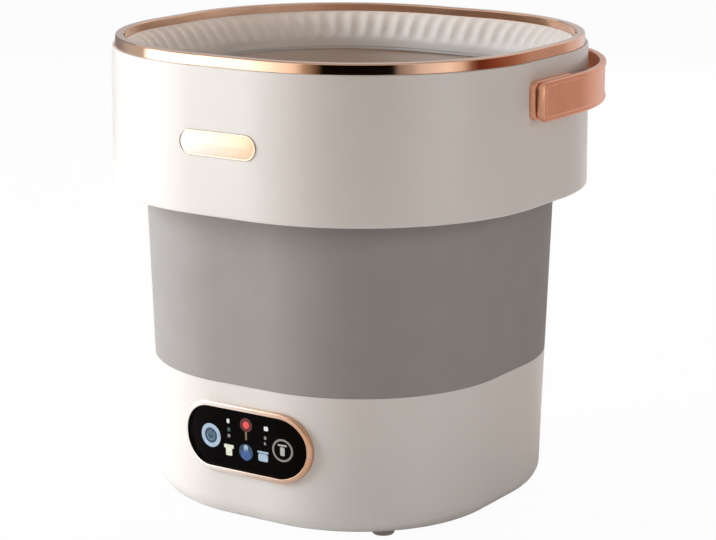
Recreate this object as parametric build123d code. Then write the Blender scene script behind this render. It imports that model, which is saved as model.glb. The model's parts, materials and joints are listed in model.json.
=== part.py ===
# Foldable washing machine: a hard base with the motor and the controls, a soft wall that folds,
# and a hard upper shell with a fluted mouth, a metal rim and a swinging bail handle.
# Millimetres, +Z up, the panel faces -Y. The origin is on the wash tub's axis, on the floor.
import os
from math import asin, cos, degrees, pi, radians, sin, tan

from build123d import *

# Plan and clearances: every level is a square with big round corners and short straight sides
flat_half = 23.0
running_clearance = 0.05
seat_clearance = 0.1
soft_clearance = 0.3
moving_clearance = 0.3

# Base casing, cover and feet
base_top_half = 136.5
base_taper = 3.1
base_height = 101.8
base_fillet = 15.0
base_wall = 3.0
base_bevel = 9.0
foot_height = 6.8
foot_radius = 8.0
foot_edge = 0.6
foot_stem_radius = 3.0
foot_inset = 9.5
cover_thickness = 2.5
cover_margin = 3.9
ledge_width = 8.0
screw_radius = 1.6
screw_length = 10.0
screw_head_radius = 3.4
screw_head_thickness = 1.8
screw_boss_radius = 4.0
vent_count = 7
vent_length = 44.0
vent_width = 3.0
vent_pitch = 9.0

# Soft wall and its clamps
sleeve_wall = 2.5
sleeve_setback = 3.4
sleeve_foot_width = 14.0
sleeve_head_width = 9.0
flange_thickness = 3.0
clamp_thickness = 3.0
clamp_margin = 5.0
pillar_radius = 2.0

# Upper shell, rim and fluted mouth
shell_bottom = 234.9
shell_bottom_half = 165.0
shell_taper = 1.3
shell_height = 102.5
shell_wall = 3.0
shell_edge_round = 1.2
shell_rebate = 1.5
rim_height = 7.5
rim_inset = 1.9
rim_lean = 0.6
rim_roll = 1.5
rim_width = 8.9
rim_edge = 0.8
mouth_radius = 24.0
mouth_sweep = 72.0
mouth_ledge = 0.5
mouth_lip = 3.0
mouth_wall = 2.2
mouth_rise = 1.4
mouth_gap = 0.2
mouth_steps = 4
flutes_per_quarter = 19
flute_depth = 1.6
flute_half = 6.0
carrier_wall = 2.0
carrier_flange = 1.6
carrier_gap = 0.4

# Motor and drive, stacked up from the cover
motor_gap = 2.7
motor_radius = 18.0
motor_length = 26.0
motor_bevel = 2.0
motor_boss_radius = 6.0
motor_shaft_radius = 2.5
motor_bore_depth = 9.0
bracket_thickness = 3.0
bracket_half = 50.0
bracket_round = 9.0
bracket_margin = 2.0
post_radius = 5.0
gear_module = 1.25
gear_teeth = 60
pinion_teeth = 15
gear_width = 7.0
gear_lift = 1.0
gear_gap = 1.5
gear_backlash = 0.3
gear_hole_radius = 7.0
gear_hole_place = 22.0
gear_hole_count = 5
shaft_radius = 5.0
shaft_tip_radius = 4.0
shaft_flat = 3.0
shaft_shoulder_lift = 12.0
shaft_tip_length = 8.2
shaft_collar_radius = 7.0
bush_wall = 3.0
bush_flange = 2.0
bush_length = 5.0
seal_width = 4.0
seal_rise = 1.3

# Wash tub and pulsator
tub_wall = 3.0
tub_rim_inset = 3.8
tub_taper = 5.7
tub_shelf = 29.0
tub_floor_round = 6.0
tub_floor_bevel = 7.0
well_depth = 11.0
hub_radius = 14.0
hub_drop = 4.5
pulsator_play = 4.0
pulsator_gap = 2.0
pulsator_wall = 3.0
pulsator_rim_lift = 5.5
pulsator_middle_radius = 48.0
pulsator_middle_lift = 11.0
pulsator_neck_radius = 20.0
pulsator_top_lift = 26.0
pulsator_hub_radius = 10.0
vane_count = 6
vane_width = 9.0
vane_height = 8.0
vane_bow = 14.0
cap_radius = 12.0
cap_recess = 3.0
cap_collar = 1.0
cap_rise = 3.0

# Control panel
panel_length = 110.6
panel_height = 47.6
panel_lift = 62.2
panel_depth = 2.0
bezel_width = 1.8
bezel_proud = 1.0
glass_proud = 0.3
window_length = 66.0
window_height = 16.0
board_length = 90.0
board_height = 36.0
board_thickness = 1.6
board_gap = 5.5
board_margin = 5.0
board_post_radius = 3.0
key_block_margin = 2.5

# Port plate, power inlet and drain at the back
port_half_width = 21.0
port_margin = 3.5
port_lip = 1.5
port_corner = 3.0
spot_face_depth = 0.3
inlet_lift = 77.2
inlet_bore_radius = 2.75
inlet_bore_depth = 9.5
inlet_body_radius = 6.5
inlet_body_length = 12.0
inlet_flange_radius = 8.5
inlet_flange_thickness = 1.3
spigot_lift = 31.2
spigot_radius = 9.0
spigot_bore_radius = 6.5
spigot_length = 13.0
shoulder_radius = 11.0
shoulder_thickness = 1.5
pipe_radius = 8.0
drain_gap = 2.0
strainer_radius = 9.5
strainer_thickness = 1.5
strainer_hole_radius = 1.3
strainer_ring_count = 6
strainer_ring_place = 4.4
plug_insertion = 12.0
plug_head_radius = 8.5
plug_head_thickness = 3.0
plug_grip_length = 4.0
plug_grip_width = 12.0
plug_grip_thickness = 3.0

# Bail handle and its pivots
bail_drop = 26.4
bail_standoff = 8.0
bail_width = 28.0
bail_thickness = 5.0
bail_reach = 29.0
bail_corner = 4.0
bail_groove = 0.7
bail_border = 3.0
pad_length = 56.0
pad_margin = 0.5
pad_corner = 6.0
pin_radius = 4.0
pin_stub_radius = 3.0
pin_stub_length = 3.0
pin_head_radius = 5.5
pin_head_thickness = 2.5
clip_radius = 7.0
clip_thickness = 1.5
lug_radius = 7.7
lug_half_angle = 15.0
lug_thickness = 3.0
lug_play_angle = 2.5

# Bare badge plate
badge_length = 64.0
badge_height = 18.0
badge_lift = 50.1
badge_thickness = 1.2

# Levels and half widths of the base that follow from the sizes above
base_top = foot_height + base_height
base_bottom_half = base_top_half - base_taper
base_slope = base_taper / base_height
cover_top = foot_height + cover_thickness
cover_half = base_bottom_half - base_fillet - cover_margin
ledge_half = cover_half - ledge_width
foot_place = flat_half + (cover_half - flat_half - foot_inset) * cos(pi / 4)
flange_half = base_top_half - sleeve_foot_width
tub_flange_bottom = base_top - flange_thickness
panel_level = foot_height + panel_lift
inlet_level = foot_height + inlet_lift
spigot_level = foot_height + spigot_lift

# Levels and radii of the drive, tub and pulsator
bracket_level = cover_top + motor_gap + motor_length
bracket_top = bracket_level + bracket_thickness
gear_level = bracket_top + gear_lift
gear_radius = gear_module * gear_teeth / 2
motor_place = gear_radius + gear_module * pinion_teeth / 2
post_place = bracket_half - bracket_round
hub_bottom = gear_level + gear_width + gear_gap
seal_level = hub_bottom + bush_length
well_bottom = hub_bottom + hub_drop
well_floor = well_bottom + tub_wall
tub_floor_level = well_floor + well_depth
tub_floor_bottom = tub_floor_level - tub_wall
tub_rim_half = flange_half - tub_rim_inset
tub_foot_half = tub_rim_half - tub_taper
well_radius = tub_foot_half - tub_shelf
drain_place = well_radius + tub_wall + pipe_radius + drain_gap
shaft_shoulder_level = well_floor + shaft_shoulder_lift
shaft_top = shaft_shoulder_level + shaft_tip_length
pulsator_radius = well_radius - pulsator_play
pulsator_rim_level = well_floor + pulsator_rim_lift
pulsator_top_level = well_floor + pulsator_top_lift
cap_floor = pulsator_top_level - cap_recess
cap_edge = pulsator_top_level + cap_collar

# Levels and half widths of the upper shell, the mouth and the soft wall
shell_top = shell_bottom + shell_height
rim_top = shell_top + rim_height
shell_top_half = shell_bottom_half - shell_taper
shell_slope = shell_taper / shell_height
rim_foot_half = shell_top_half - rim_inset
rim_shoulder_half = rim_foot_half - rim_lean
rim_inner_half = shell_top_half - rim_width
rise_half = rim_inner_half - mouth_gap
mouth_half = rise_half - mouth_ledge - mouth_radius * (1 - cos(radians(mouth_sweep)))
mouth_centre = mouth_half + mouth_radius
mouth_top = shell_top + mouth_rise
mouth_start = mouth_top - mouth_radius * sin(radians(mouth_sweep))
mouth_bottom = mouth_start - mouth_lip
liner_flange_bottom = shell_top - mouth_rise
rebate_level = liner_flange_bottom - carrier_flange
carrier_bottom = mouth_bottom - carrier_wall
sleeve_top = carrier_bottom - soft_clearance
sleeve_top_half = mouth_half + sleeve_setback + sleeve_wall
sleeve_slope = (sleeve_top_half - base_top_half) / (sleeve_top - base_top)
badge_level = shell_bottom + badge_lift
bail_level = shell_top - bail_drop


def base_half(level):
    """Half width of the base's outer face at a level."""
    return base_bottom_half + base_slope * (level - foot_height)


def sleeve_half(level):
    """Half width of the soft wall's outer face at a level."""
    return base_top_half + sleeve_slope * (level - base_top)


def shell_half(level):
    """Half width of the upper shell's outer face at a level."""
    return shell_bottom_half - shell_slope * (level - shell_bottom)


def tub_half(level):
    """Half width of the wash tub's inner face at a level."""
    return tub_foot_half + tub_taper * (level - tub_floor_level) / (base_top - tub_floor_level)


bail_inner_half = shell_half(bail_level) + bail_standoff
bail_half = bail_inner_half + bail_thickness
pad_face = bail_inner_half - moving_clearance


def section(points, rounds=()):
    """Closed face through (half width, level) points, with some corners rounded."""
    face = make_face(Polyline(*points, close=True))
    for place, radius in rounds:
        corner = face.vertices().sort_by_distance(Vector(*place))[0]
        face = fillet(corner, radius)
    return face


def plan(half):
    """Rounded square of a half width, with the straight sides that every level shares."""
    return RectangleRounded(2 * half, 2 * half, half - flat_half)


def plate(half, low, high):
    """Rounded square plate between two levels."""
    return Pos(0, 0, low) * extrude(plan(half), high - low)


def disc(radius, low, high):
    """Round plate on the axis between two levels."""
    height = high - low
    return Pos(0, 0, low) * Cylinder(radius, height, align=(Align.CENTER, Align.CENTER, Align.MIN))


def rod(radius, near, far, level=0.0):
    """Round bar along +Y at a level, between two distances from the axis."""
    return Pos(0, 0, level) * Rot(-90, 0, 0) * disc(radius, near, far)


def block(outline, near, far):
    """Bar along +Y with an outline in (x, z), between two distances from the axis."""
    return Pos(0, near, 0) * extrude(Plane.XZ * outline, near - far)


def turned(points):
    """Solid of revolution about the upright axis through (radius, level) points."""
    return revolve(Plane.XZ * make_face(Polyline(*points, close=True)), Axis.Z)


def domed(radius, edge, rise):
    """Arc in (radius, level) from an edge up to the axis, where it lies level."""
    sphere = (radius ** 2 + rise ** 2) / (2 * rise)
    half_turn = asin(radius / sphere) / 2
    middle = (sphere * sin(half_turn), edge + rise - sphere * (1 - cos(half_turn)))
    return ThreePointArc((radius, edge), middle, (0, edge + rise))


def quarter_of(profile):
    """A wall section carried from the middle of one side round a corner to the next side."""
    start = Pos(0, flat_half, 0) * (Plane.XZ * profile)
    side = extrude(start, flat_half)
    corner = revolve(start, Axis((flat_half, flat_half, 0), (0, 0, 1)), 90)
    next_side = mirror(side, Plane(origin=(0, 0, 0), z_dir=(1, -1, 0)))
    return side + corner + next_side


def four_times(quarter):
    """The whole loop from one quarter of it."""
    whole = quarter
    for turn in range(1, 4):
        whole = whole + Rot(0, 0, 90 * turn) * quarter
    return whole


def ring_of(profile):
    """A wall section carried round the whole rounded square."""
    return four_times(quarter_of(profile))


def around(piece, count, start=0.0):
    """Equal copies of a piece, spread evenly about the upright axis."""
    return [Rot(0, 0, start + 360 / count * turn) * piece for turn in range(count)]


def slot_prism(length, height, level, near, far):
    """Round-ended bar along X, standing out of the -Y side between two distances."""
    outline = Plane.XZ * (Pos(0, level) * SlotOverall(length, height))
    return Pos(0, -near, 0) * extrude(outline, far - near)


def wall_layer(half_at, low, high, inner, outer):
    """The layer of a tapered wall from inner to outer, measured outwards from its face."""
    corners = [
        (half_at(low) + inner, low),
        (half_at(low) + outer, low),
        (half_at(high) + outer, high),
        (half_at(high) + inner, high),
    ]
    return ring_of(section(corners))


def arc_point(radius, angle):
    """Point of the bell mouth's arcs, at an angle up from its start level."""
    turn = radians(angle)
    return (mouth_centre - radius * cos(turn), mouth_start + radius * sin(turn))


def arc_angle(radius, level):
    """Angle at which an arc of the bell mouth reaches a level."""
    return degrees(asin((level - mouth_start) / radius))


# Base
def make_base_shell():
    """Outer casing with a filleted foot, a flange for the tub, and seats for panel and port plate."""
    flange_low = tub_flange_bottom - flange_thickness
    ledge_top = cover_top + base_wall
    outer_corner = (base_half(foot_height), foot_height)
    points = [
        (cover_half + seat_clearance, foot_height),
        outer_corner,
        (base_top_half, base_top),
        (base_top_half - base_wall, base_top),
        (base_half(tub_flange_bottom) - base_wall, tub_flange_bottom),
        (flange_half, tub_flange_bottom),
        (flange_half, flange_low),
        (base_half(flange_low) - base_wall, flange_low),
        (base_half(ledge_top + base_bevel) - base_wall, ledge_top + base_bevel),
        (base_half(ledge_top) - base_wall - base_bevel, ledge_top),
        (ledge_half, ledge_top),
        (ledge_half, cover_top),
        (cover_half + seat_clearance, cover_top),
    ]
    shell = ring_of(section(points, [(outer_corner, base_fillet)]))
    boss = Pos(ledge_half, 0, 0) * disc(screw_boss_radius, cover_top, cover_top + screw_length)
    hole = Pos(ledge_half, 0, 0) * disc(screw_radius, cover_top, cover_top + screw_length)
    shell = shell + around(boss, 4) - around(hole, 4)
    board_face = base_half(panel_level) - base_wall - board_gap
    for x, z in board_corners():
        post = rod(board_post_radius, board_face, board_face + board_gap + base_wall / 2, z)
        shell = shell + mirror(Pos(x, 0, 0) * post, Plane.XZ)
    shell = shell - (panel_slot(0) & panel_layer(base_wall))
    shell = shell - slot_prism(window_length, window_height, panel_level, flange_half, base_top_half)
    return shell - port_block(seat_clearance)


def port_block(margin):
    """Bar through the back wall with the port plate's outline, grown by a margin all round."""
    top = inlet_level + inlet_flange_radius + port_margin + margin
    bottom = spigot_level - shoulder_radius - port_margin - margin
    outline = RectangleRounded(2 * (port_half_width + margin), top - bottom, port_corner)
    return block(Pos(0, (top + bottom) / 2) * outline, flange_half - base_taper, base_top_half)


def spot_face(level):
    """Distance from the axis of the flat that is cut in the back wall behind a port's flange."""
    return base_half(level) - spot_face_depth


def make_port_plate():
    """Plate in the back wall that carries the power inlet and the drain, lipped on the inside."""
    inner = -base_wall - port_lip
    plate = port_block(0) & wall_layer(base_half, foot_height, base_top, inner, 0)
    behind = -base_wall - seat_clearance
    plate = plate + (port_block(port_lip) & wall_layer(base_half, foot_height, base_top, inner, behind))
    for level, through, flange in (
        (spigot_level, pipe_radius, shoulder_radius),
        (inlet_level, inlet_body_radius, inlet_flange_radius),
    ):
        hole = rod(through + seat_clearance, flange_half - base_taper, base_top_half, level)
        plate = plate - hole - rod(flange + seat_clearance, spot_face(level), base_top_half, level)
    return plate


def board_corners():
    """Places of the four board posts on the panel side, as (x, z)."""
    across = board_length / 2 - board_margin
    up = board_height / 2 - board_margin
    return [(x, panel_level + z) for x in (-across, across) for z in (-up, up)]


def foot_places():
    """Places of the four feet."""
    return [(x, y) for x in (-foot_place, foot_place) for y in (-foot_place, foot_place)]


def make_bottom_cover():
    """Plate that closes the base, with vents, foot sockets and screw holes."""
    cover = plate(cover_half, foot_height, cover_top)
    for x, y in foot_places():
        cover = cover - Pos(x, y, 0) * disc(foot_stem_radius + seat_clearance, 0, cover_top)
    hole = Pos(ledge_half, 0, 0) * disc(screw_radius + seat_clearance, 0, cover_top)
    cover = cover - around(hole, 4)
    first = -(vent_count - 1) / 2
    for number in range(vent_count):
        slot = Pos(0, (first + number) * vent_pitch) * Rectangle(vent_length, vent_width)
        cover = cover - Pos(0, 0, foot_height) * extrude(slot, cover_thickness)
    return cover


def make_feet():
    """Four soft feet, each with a stem in the cover."""
    feet = []
    for x, y in foot_places():
        pad = turned([
            (0, 0),
            (foot_radius - foot_edge, 0),
            (foot_radius, foot_edge),
            (foot_radius, foot_height),
            (foot_stem_radius, foot_height),
            (foot_stem_radius, cover_top - seat_clearance),
            (0, cover_top - seat_clearance),
        ])
        feet.append(Pos(x, y, 0) * pad)
    return feet


def screw(length):
    """Screw with its head below level zero and its shank above."""
    head = disc(screw_head_radius, -screw_head_thickness, 0)
    return head + disc(screw_radius - running_clearance, -screw_head_thickness, length)


def make_cover_screws():
    """Four screws up through the cover into the bosses."""
    one = Pos(ledge_half, 0, foot_height) * screw(screw_length)
    return around(one, 4)


def panel_slot(inset):
    """Round-ended bar of the panel's outline, drawn in by an inset all round."""
    length = panel_length - 2 * inset
    height = panel_height - 2 * inset
    return slot_prism(length, height, panel_level, flange_half, base_top_half + base_wall)


def panel_layer(proud):
    """Curved layer from the bottom of the panel seat to a height over the casing."""
    reach = panel_height / 2 + base_wall
    return wall_layer(base_half, panel_level - reach, panel_level + reach, -panel_depth, proud)


def make_panel_bezel():
    """Trim ring that follows the curve of the casing round the panel."""
    return (panel_slot(seat_clearance) - panel_slot(bezel_width)) & panel_layer(bezel_proud)


def make_panel_glass():
    """Dark curved window inside the trim ring."""
    return panel_slot(bezel_width + seat_clearance) & panel_layer(glass_proud)


def make_control_board():
    """Circuit board on its four posts, with a touch block that reaches into the window."""
    board_face = base_half(panel_level) - base_wall - board_gap
    outline = Pos(0, panel_level) * RectangleRounded(board_length, board_height, board_margin / 2)
    board = Pos(0, -(board_face - board_thickness), 0) * extrude(Plane.XZ * outline, board_thickness)
    touch_length = window_length - 4 * key_block_margin
    touch_height = window_height - 2 * key_block_margin
    touch = Pos(0, panel_level) * Rectangle(touch_length, touch_height)
    reach = board_gap + base_wall - panel_depth - moving_clearance
    return board + Pos(0, -board_face, 0) * extrude(Plane.XZ * touch, reach)


# Wash tub and drain
def make_wash_tub():
    """Deep tray with a rim flange, a round well for the pulsator and a hub for the shaft."""
    flange_outer = base_half(tub_flange_bottom) - base_wall - seat_clearance
    inner_foot = (tub_foot_half, tub_floor_level)
    ring_inner = well_radius - flat_half
    points = [
        (ring_inner, tub_floor_bottom),
        (tub_foot_half + tub_wall - tub_floor_bevel, tub_floor_bottom),
        (tub_half(tub_floor_bottom + tub_floor_bevel) + tub_wall, tub_floor_bottom + tub_floor_bevel),
        (tub_half(tub_flange_bottom) + tub_wall, tub_flange_bottom),
        (flange_outer, tub_flange_bottom),
        (flange_outer, base_top),
        (tub_rim_half, base_top),
        inner_foot,
        (ring_inner, tub_floor_level),
    ]
    tub = ring_of(section(points, [(inner_foot, tub_floor_round)]))
    tub = tub + disc(well_radius + tub_wall, well_bottom, tub_floor_level)
    tub = tub - disc(well_radius, well_floor, tub_floor_level)
    tub = tub + disc(hub_radius, hub_bottom, well_bottom)
    bush_outer = shaft_radius + running_clearance + bush_wall
    tub = tub - disc(bush_outer + seat_clearance, hub_bottom, well_floor)
    tub = tub - disc(shaft_radius + seal_width + seat_clearance, seal_level, well_floor)
    for x, y in post_places():
        post = disc(post_radius, bracket_top, well_bottom)
        tub = tub + Pos(x, y, 0) * (post - disc(screw_radius, bracket_top, bracket_top + screw_length))
    drain = Pos(0, drain_place, 0)
    tub = tub - drain * disc(spigot_bore_radius, tub_floor_bottom, tub_floor_level)
    seat_floor = tub_floor_level - strainer_thickness
    return tub - drain * disc(strainer_radius + seat_clearance, seat_floor, tub_floor_level)


def post_places():
    """Places of the posts that carry the motor bracket."""
    return [(x, y) for x in (-post_place, post_place) for y in (-post_place, post_place)]


def make_drain_strainer():
    """Perforated disc over the drain."""
    low = tub_floor_level - strainer_thickness
    hole = disc(strainer_hole_radius, low, tub_floor_level)
    strainer = disc(strainer_radius, low, tub_floor_level) - hole
    strainer = strainer - around(Pos(strainer_ring_place, 0, 0) * hole, strainer_ring_count)
    return Pos(0, drain_place, 0) * strainer


def spigot_start():
    """Distance from the axis of the shoulder's outer face, where a hose ends."""
    return spot_face(spigot_level) + shoulder_thickness


def pipe_run(radius, end):
    """Round bar down from the tub's floor, round a knee and out to a distance from the axis."""
    knee = Pos(0, drain_place, spigot_level) * Sphere(radius)
    drop = Pos(0, drain_place, 0) * disc(radius, spigot_level, tub_floor_bottom)
    return drop + knee + rod(radius, drain_place, end, spigot_level)


def make_drain_elbow():
    """Pipe from the tub floor out through the back, with a shoulder and a hose spigot."""
    end = spigot_start() + spigot_length
    elbow = pipe_run(pipe_radius, spigot_start())
    elbow = elbow + rod(shoulder_radius, spot_face(spigot_level), spigot_start(), spigot_level)
    elbow = elbow + rod(spigot_radius, spigot_start(), end, spigot_level)
    return elbow - pipe_run(spigot_bore_radius, end)


def make_drain_plug():
    """Stopper in the spigot, with a finger grip on its head."""
    face = spigot_start() + spigot_length + seat_clearance
    tip = face + plug_head_thickness
    shank = rod(spigot_bore_radius - running_clearance, face - plug_insertion, face, spigot_level)
    head = rod(plug_head_radius, face, tip, spigot_level)
    outline = Pos(0, spigot_level) * Rectangle(plug_grip_thickness, plug_grip_width)
    return shank + head + block(outline, tip, tip + plug_grip_length)


def make_power_inlet():
    """Socket for a low voltage plug, with its flange in the spot face at the back."""
    face = spot_face(inlet_level)
    out = face + inlet_flange_thickness
    socket = rod(inlet_body_radius, face - inlet_body_length, out, inlet_level)
    socket = socket + rod(inlet_flange_radius, face, out, inlet_level)
    return socket - rod(inlet_bore_radius, out - inlet_bore_depth, out, inlet_level)


# Drive
def spur_gear(teeth, phase):
    """Flat outline of a gear with straight flanks, its first tooth at an angle in degrees."""
    pitch_radius = gear_module * teeth / 2
    root = pitch_radius - 1.25 * gear_module
    tip = pitch_radius + gear_module
    half_tooth = pi * gear_module / 4 - gear_backlash / 2
    slope = tan(radians(20))
    points = []
    for number in range(teeth):
        middle = radians(phase) + 2 * pi * number / teeth
        for radius, side in ((root, -1), (tip, -1), (tip, 1), (root, 1)):
            half = half_tooth + (pitch_radius - radius) * slope
            angle = middle + side * half / radius
            points.append((radius * cos(angle), radius * sin(angle)))
    return make_face(Polyline(*points, close=True))


def make_drive_gear():
    """Large gear on the drive shaft, with lightening holes."""
    gear = Pos(0, 0, gear_level) * extrude(spur_gear(gear_teeth, 0), gear_width)
    gear = gear - disc(shaft_radius + seat_clearance, gear_level, gear_level + gear_width)
    hole = Pos(gear_hole_place, 0, 0) * disc(gear_hole_radius, gear_level, gear_level + gear_width)
    return gear - around(hole, gear_hole_count, 30)


def make_motor_pinion():
    """Motor shaft with its pinion, a gap of which faces the large gear."""
    phase = 180 + 180 / pinion_teeth
    teeth = Pos(0, 0, gear_level) * extrude(spur_gear(pinion_teeth, phase), gear_width)
    shaft_end = bracket_level - motor_bore_depth + moving_clearance
    shaft = disc(motor_shaft_radius, shaft_end, gear_level)
    return Pos(motor_place, 0, 0) * (teeth + shaft)


def make_motor():
    """Motor can under the bracket, with the boss that centres it in the plate."""
    low = bracket_level - motor_length
    can = turned([
        (0, low),
        (motor_radius - motor_bevel, low),
        (motor_radius, low + motor_bevel),
        (motor_radius, bracket_level),
        (motor_boss_radius, bracket_level),
        (motor_boss_radius, bracket_top - running_clearance),
        (0, bracket_top - running_clearance),
    ])
    bore = disc(motor_shaft_radius + running_clearance, bracket_level - motor_bore_depth, bracket_top)
    return Pos(motor_place, 0, 0) * (can - bore)


def make_motor_bracket():
    """Plate that hangs from the tub's posts and carries the motor and the lower bush."""
    outline = RectangleRounded(2 * bracket_half, 2 * bracket_half, bracket_round)
    outline = outline + Pos(motor_place, 0) * Circle(motor_radius + bracket_margin)
    outline = outline - Pos(motor_place, 0) * Circle(motor_boss_radius + seat_clearance)
    outline = outline - Circle(lower_bush_radius() + seat_clearance)
    for x, y in post_places():
        outline = outline - Pos(x, y) * Circle(screw_radius + seat_clearance)
    return Pos(0, 0, bracket_level) * extrude(outline, bracket_thickness)


def make_bracket_screws():
    """Screws up through the bracket into the posts."""
    return [Pos(x, y, bracket_level) * screw(screw_length) for x, y in post_places()]


def lower_bush_radius():
    """Outer radius of the lower bush, which the bracket's hole takes."""
    return shaft_tip_radius + running_clearance + bush_wall


def make_lower_bush():
    """Flanged plain bearing in the bracket."""
    inner = shaft_tip_radius + running_clearance
    outer = lower_bush_radius()
    return turned([
        (inner, bracket_level - bush_flange),
        (outer + bush_flange, bracket_level - bush_flange),
        (outer + bush_flange, bracket_level),
        (outer, bracket_level),
        (outer, bracket_top),
        (inner, bracket_top),
    ])


def make_upper_bush():
    """Plain bearing in the tub's hub."""
    inner = shaft_radius + running_clearance
    return disc(inner + bush_wall, hub_bottom, seal_level) - disc(inner, hub_bottom, seal_level)


def make_shaft_seal():
    """Soft lip seal over the upper bush."""
    inner = shaft_radius + soft_clearance
    outer = shaft_radius + seal_width
    return turned([
        (inner, seal_level),
        (outer, seal_level),
        (outer, well_floor),
        (outer - seal_rise, well_floor + seal_rise),
        (inner + seal_rise, well_floor + seal_rise),
        (inner, well_floor),
    ])


def shaft_tip(extra):
    """Flatted end of the shaft, or with extra the hole that takes it."""
    tip = disc(shaft_tip_radius + extra, shaft_shoulder_level, shaft_top)
    reach = 2 * shaft_tip_radius
    flat = Pos(shaft_flat + extra + reach / 2, 0, shaft_shoulder_level + shaft_tip_length / 2)
    return tip - flat * Box(reach, reach * 2, shaft_tip_length)


def make_drive_shaft():
    """Shaft with a lower journal, a gear collar, a long journal and a flatted tip."""
    collar_bottom = bracket_top + seat_clearance
    body = turned([
        (0, bracket_level - bush_flange),
        (shaft_tip_radius, bracket_level - bush_flange),
        (shaft_tip_radius, collar_bottom),
        (shaft_collar_radius, collar_bottom),
        (shaft_collar_radius, gear_level),
        (shaft_radius, gear_level),
        (shaft_radius, shaft_shoulder_level),
        (0, shaft_shoulder_level),
    ])
    return body + shaft_tip(0) - disc(screw_radius, shaft_top - screw_length, shaft_top)


def dish_curve(rim_lift, middle_lift, top_lift):
    """Curve of the pulsator from rim to neck, raised at its rim, its middle and its top."""
    return ThreePointArc(
        (pulsator_radius, pulsator_rim_level + rim_lift),
        (pulsator_middle_radius, well_floor + pulsator_middle_lift + middle_lift),
        (pulsator_neck_radius, pulsator_top_level + top_lift),
    )


def dish_between(upper, lower):
    """Solid of revolution between two of those curves."""
    edge = [upper, Line(upper @ 1, lower @ 1), lower, Line(lower @ 0, upper @ 0)]
    return revolve(Plane.XZ * make_face(edge), Axis.Z)


def make_pulsator():
    """Dished rotor with a flatted bore, a recess for the cap and curved vanes that fade to the rim."""
    wall = pulsator_wall
    low = well_floor + pulsator_gap
    rotor = dish_between(dish_curve(0, 0, 0), dish_curve(-wall, -wall, -wall))
    rotor = rotor + disc(pulsator_neck_radius, cap_floor - wall, pulsator_top_level)
    rotor = rotor + disc(cap_radius + wall, cap_floor, cap_edge)
    rotor = rotor + disc(pulsator_hub_radius, low, cap_floor)
    start = pulsator_neck_radius - wall
    end = pulsator_radius - vane_width
    line = ThreePointArc((start, 0), ((start + end) / 2, vane_bow), (end, 0))
    height = pulsator_top_level - pulsator_rim_level + vane_height
    blade = Pos(0, 0, pulsator_rim_level - wall) * extrude(trace(line, vane_width), height + wall)
    sunk = -wall / 2
    envelope = dish_between(dish_curve(0, vane_height, vane_height / 2), dish_curve(sunk, sunk, sunk))
    rotor = rotor + around(blade & envelope, vane_count)
    rotor = rotor - disc(cap_radius, cap_floor, cap_edge)
    rotor = rotor - disc(shaft_radius + running_clearance, low, shaft_shoulder_level)
    rotor = rotor - shaft_tip(running_clearance)
    return rotor - disc(screw_radius + seat_clearance, shaft_shoulder_level, cap_floor)


def make_pulsator_screw():
    """Screw down through the pulsator into the shaft."""
    return Pos(0, 0, cap_floor) * (Rot(180, 0, 0) * screw(screw_length))


def make_pulsator_cap():
    """Domed cap that covers the screw and stands on its own rim."""
    low = cap_floor + screw_head_thickness + seat_clearance
    outer = cap_radius - seat_clearance
    inner = outer - pulsator_wall
    edge = [
        Polyline(
            (0, cap_edge + cap_rise), (0, low), (inner, low), (inner, cap_floor), (outer, cap_floor),
            (outer, cap_edge),
        ),
        domed(outer, cap_edge, cap_rise),
    ]
    return revolve(Plane.XZ * make_face(edge), Axis.Z)


# Soft wall
def make_silicone_sleeve():
    """Soft wall with a foot on the base and a head under the mouth."""
    foot_top = base_top + flange_thickness
    head_bottom = sleeve_top - flange_thickness
    points = [
        (flange_half, base_top),
        (base_top_half, base_top),
        (sleeve_half(head_bottom), head_bottom),
        (sleeve_half(head_bottom) + sleeve_head_width - sleeve_wall, head_bottom),
        (sleeve_half(head_bottom) + sleeve_head_width - sleeve_wall, sleeve_top),
        (sleeve_half(sleeve_top) - sleeve_wall, sleeve_top),
        (sleeve_half(foot_top) - sleeve_wall, foot_top),
        (flange_half, foot_top),
    ]
    return ring_of(section(points))


def make_lower_clamp():
    """Ring that presses the soft wall's foot on the base."""
    low = base_top + flange_thickness
    high = low + clamp_thickness
    outer = sleeve_half(low) - sleeve_wall - seat_clearance
    return ring_of(section([(flange_half, low), (outer, low), (outer, high), (flange_half, high)]))


def head_half():
    """Outer half width of the soft wall's head."""
    return sleeve_half(sleeve_top - flange_thickness) + sleeve_head_width - sleeve_wall


def make_upper_clamp():
    """Ring under the soft wall's head, hung from the carrier on pillars."""
    high = sleeve_top - flange_thickness - soft_clearance
    low = high - clamp_thickness
    inner = sleeve_half(high) + soft_clearance
    outer = head_half() + clamp_margin
    ring = ring_of(section([(inner, low), (outer, low), (outer, high), (inner, high)]))
    pillar = Pos(head_half() + clamp_margin / 2, 0, 0) * disc(pillar_radius, high, carrier_bottom)
    return ring + around(pillar, 4)


# Upper shell and mouth
def make_upper_shell():
    """Tapered casing with a rebate round its top edge and holes for the pivots."""
    lower_corner = (shell_bottom_half, shell_bottom)
    points = [
        lower_corner,
        (shell_top_half, shell_top),
        (shell_top_half - shell_rebate, shell_top),
        (shell_top_half - shell_rebate, rebate_level),
        (shell_half(rebate_level) - shell_wall, rebate_level),
        (shell_bottom_half - shell_wall, shell_bottom),
    ]
    shell = ring_of(section(points, [(lower_corner, shell_edge_round)]))
    hole = rod(pin_radius + soft_clearance, -shell_bottom_half, shell_bottom_half, bail_level)
    return shell - Rot(0, 0, 90) * hole


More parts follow.
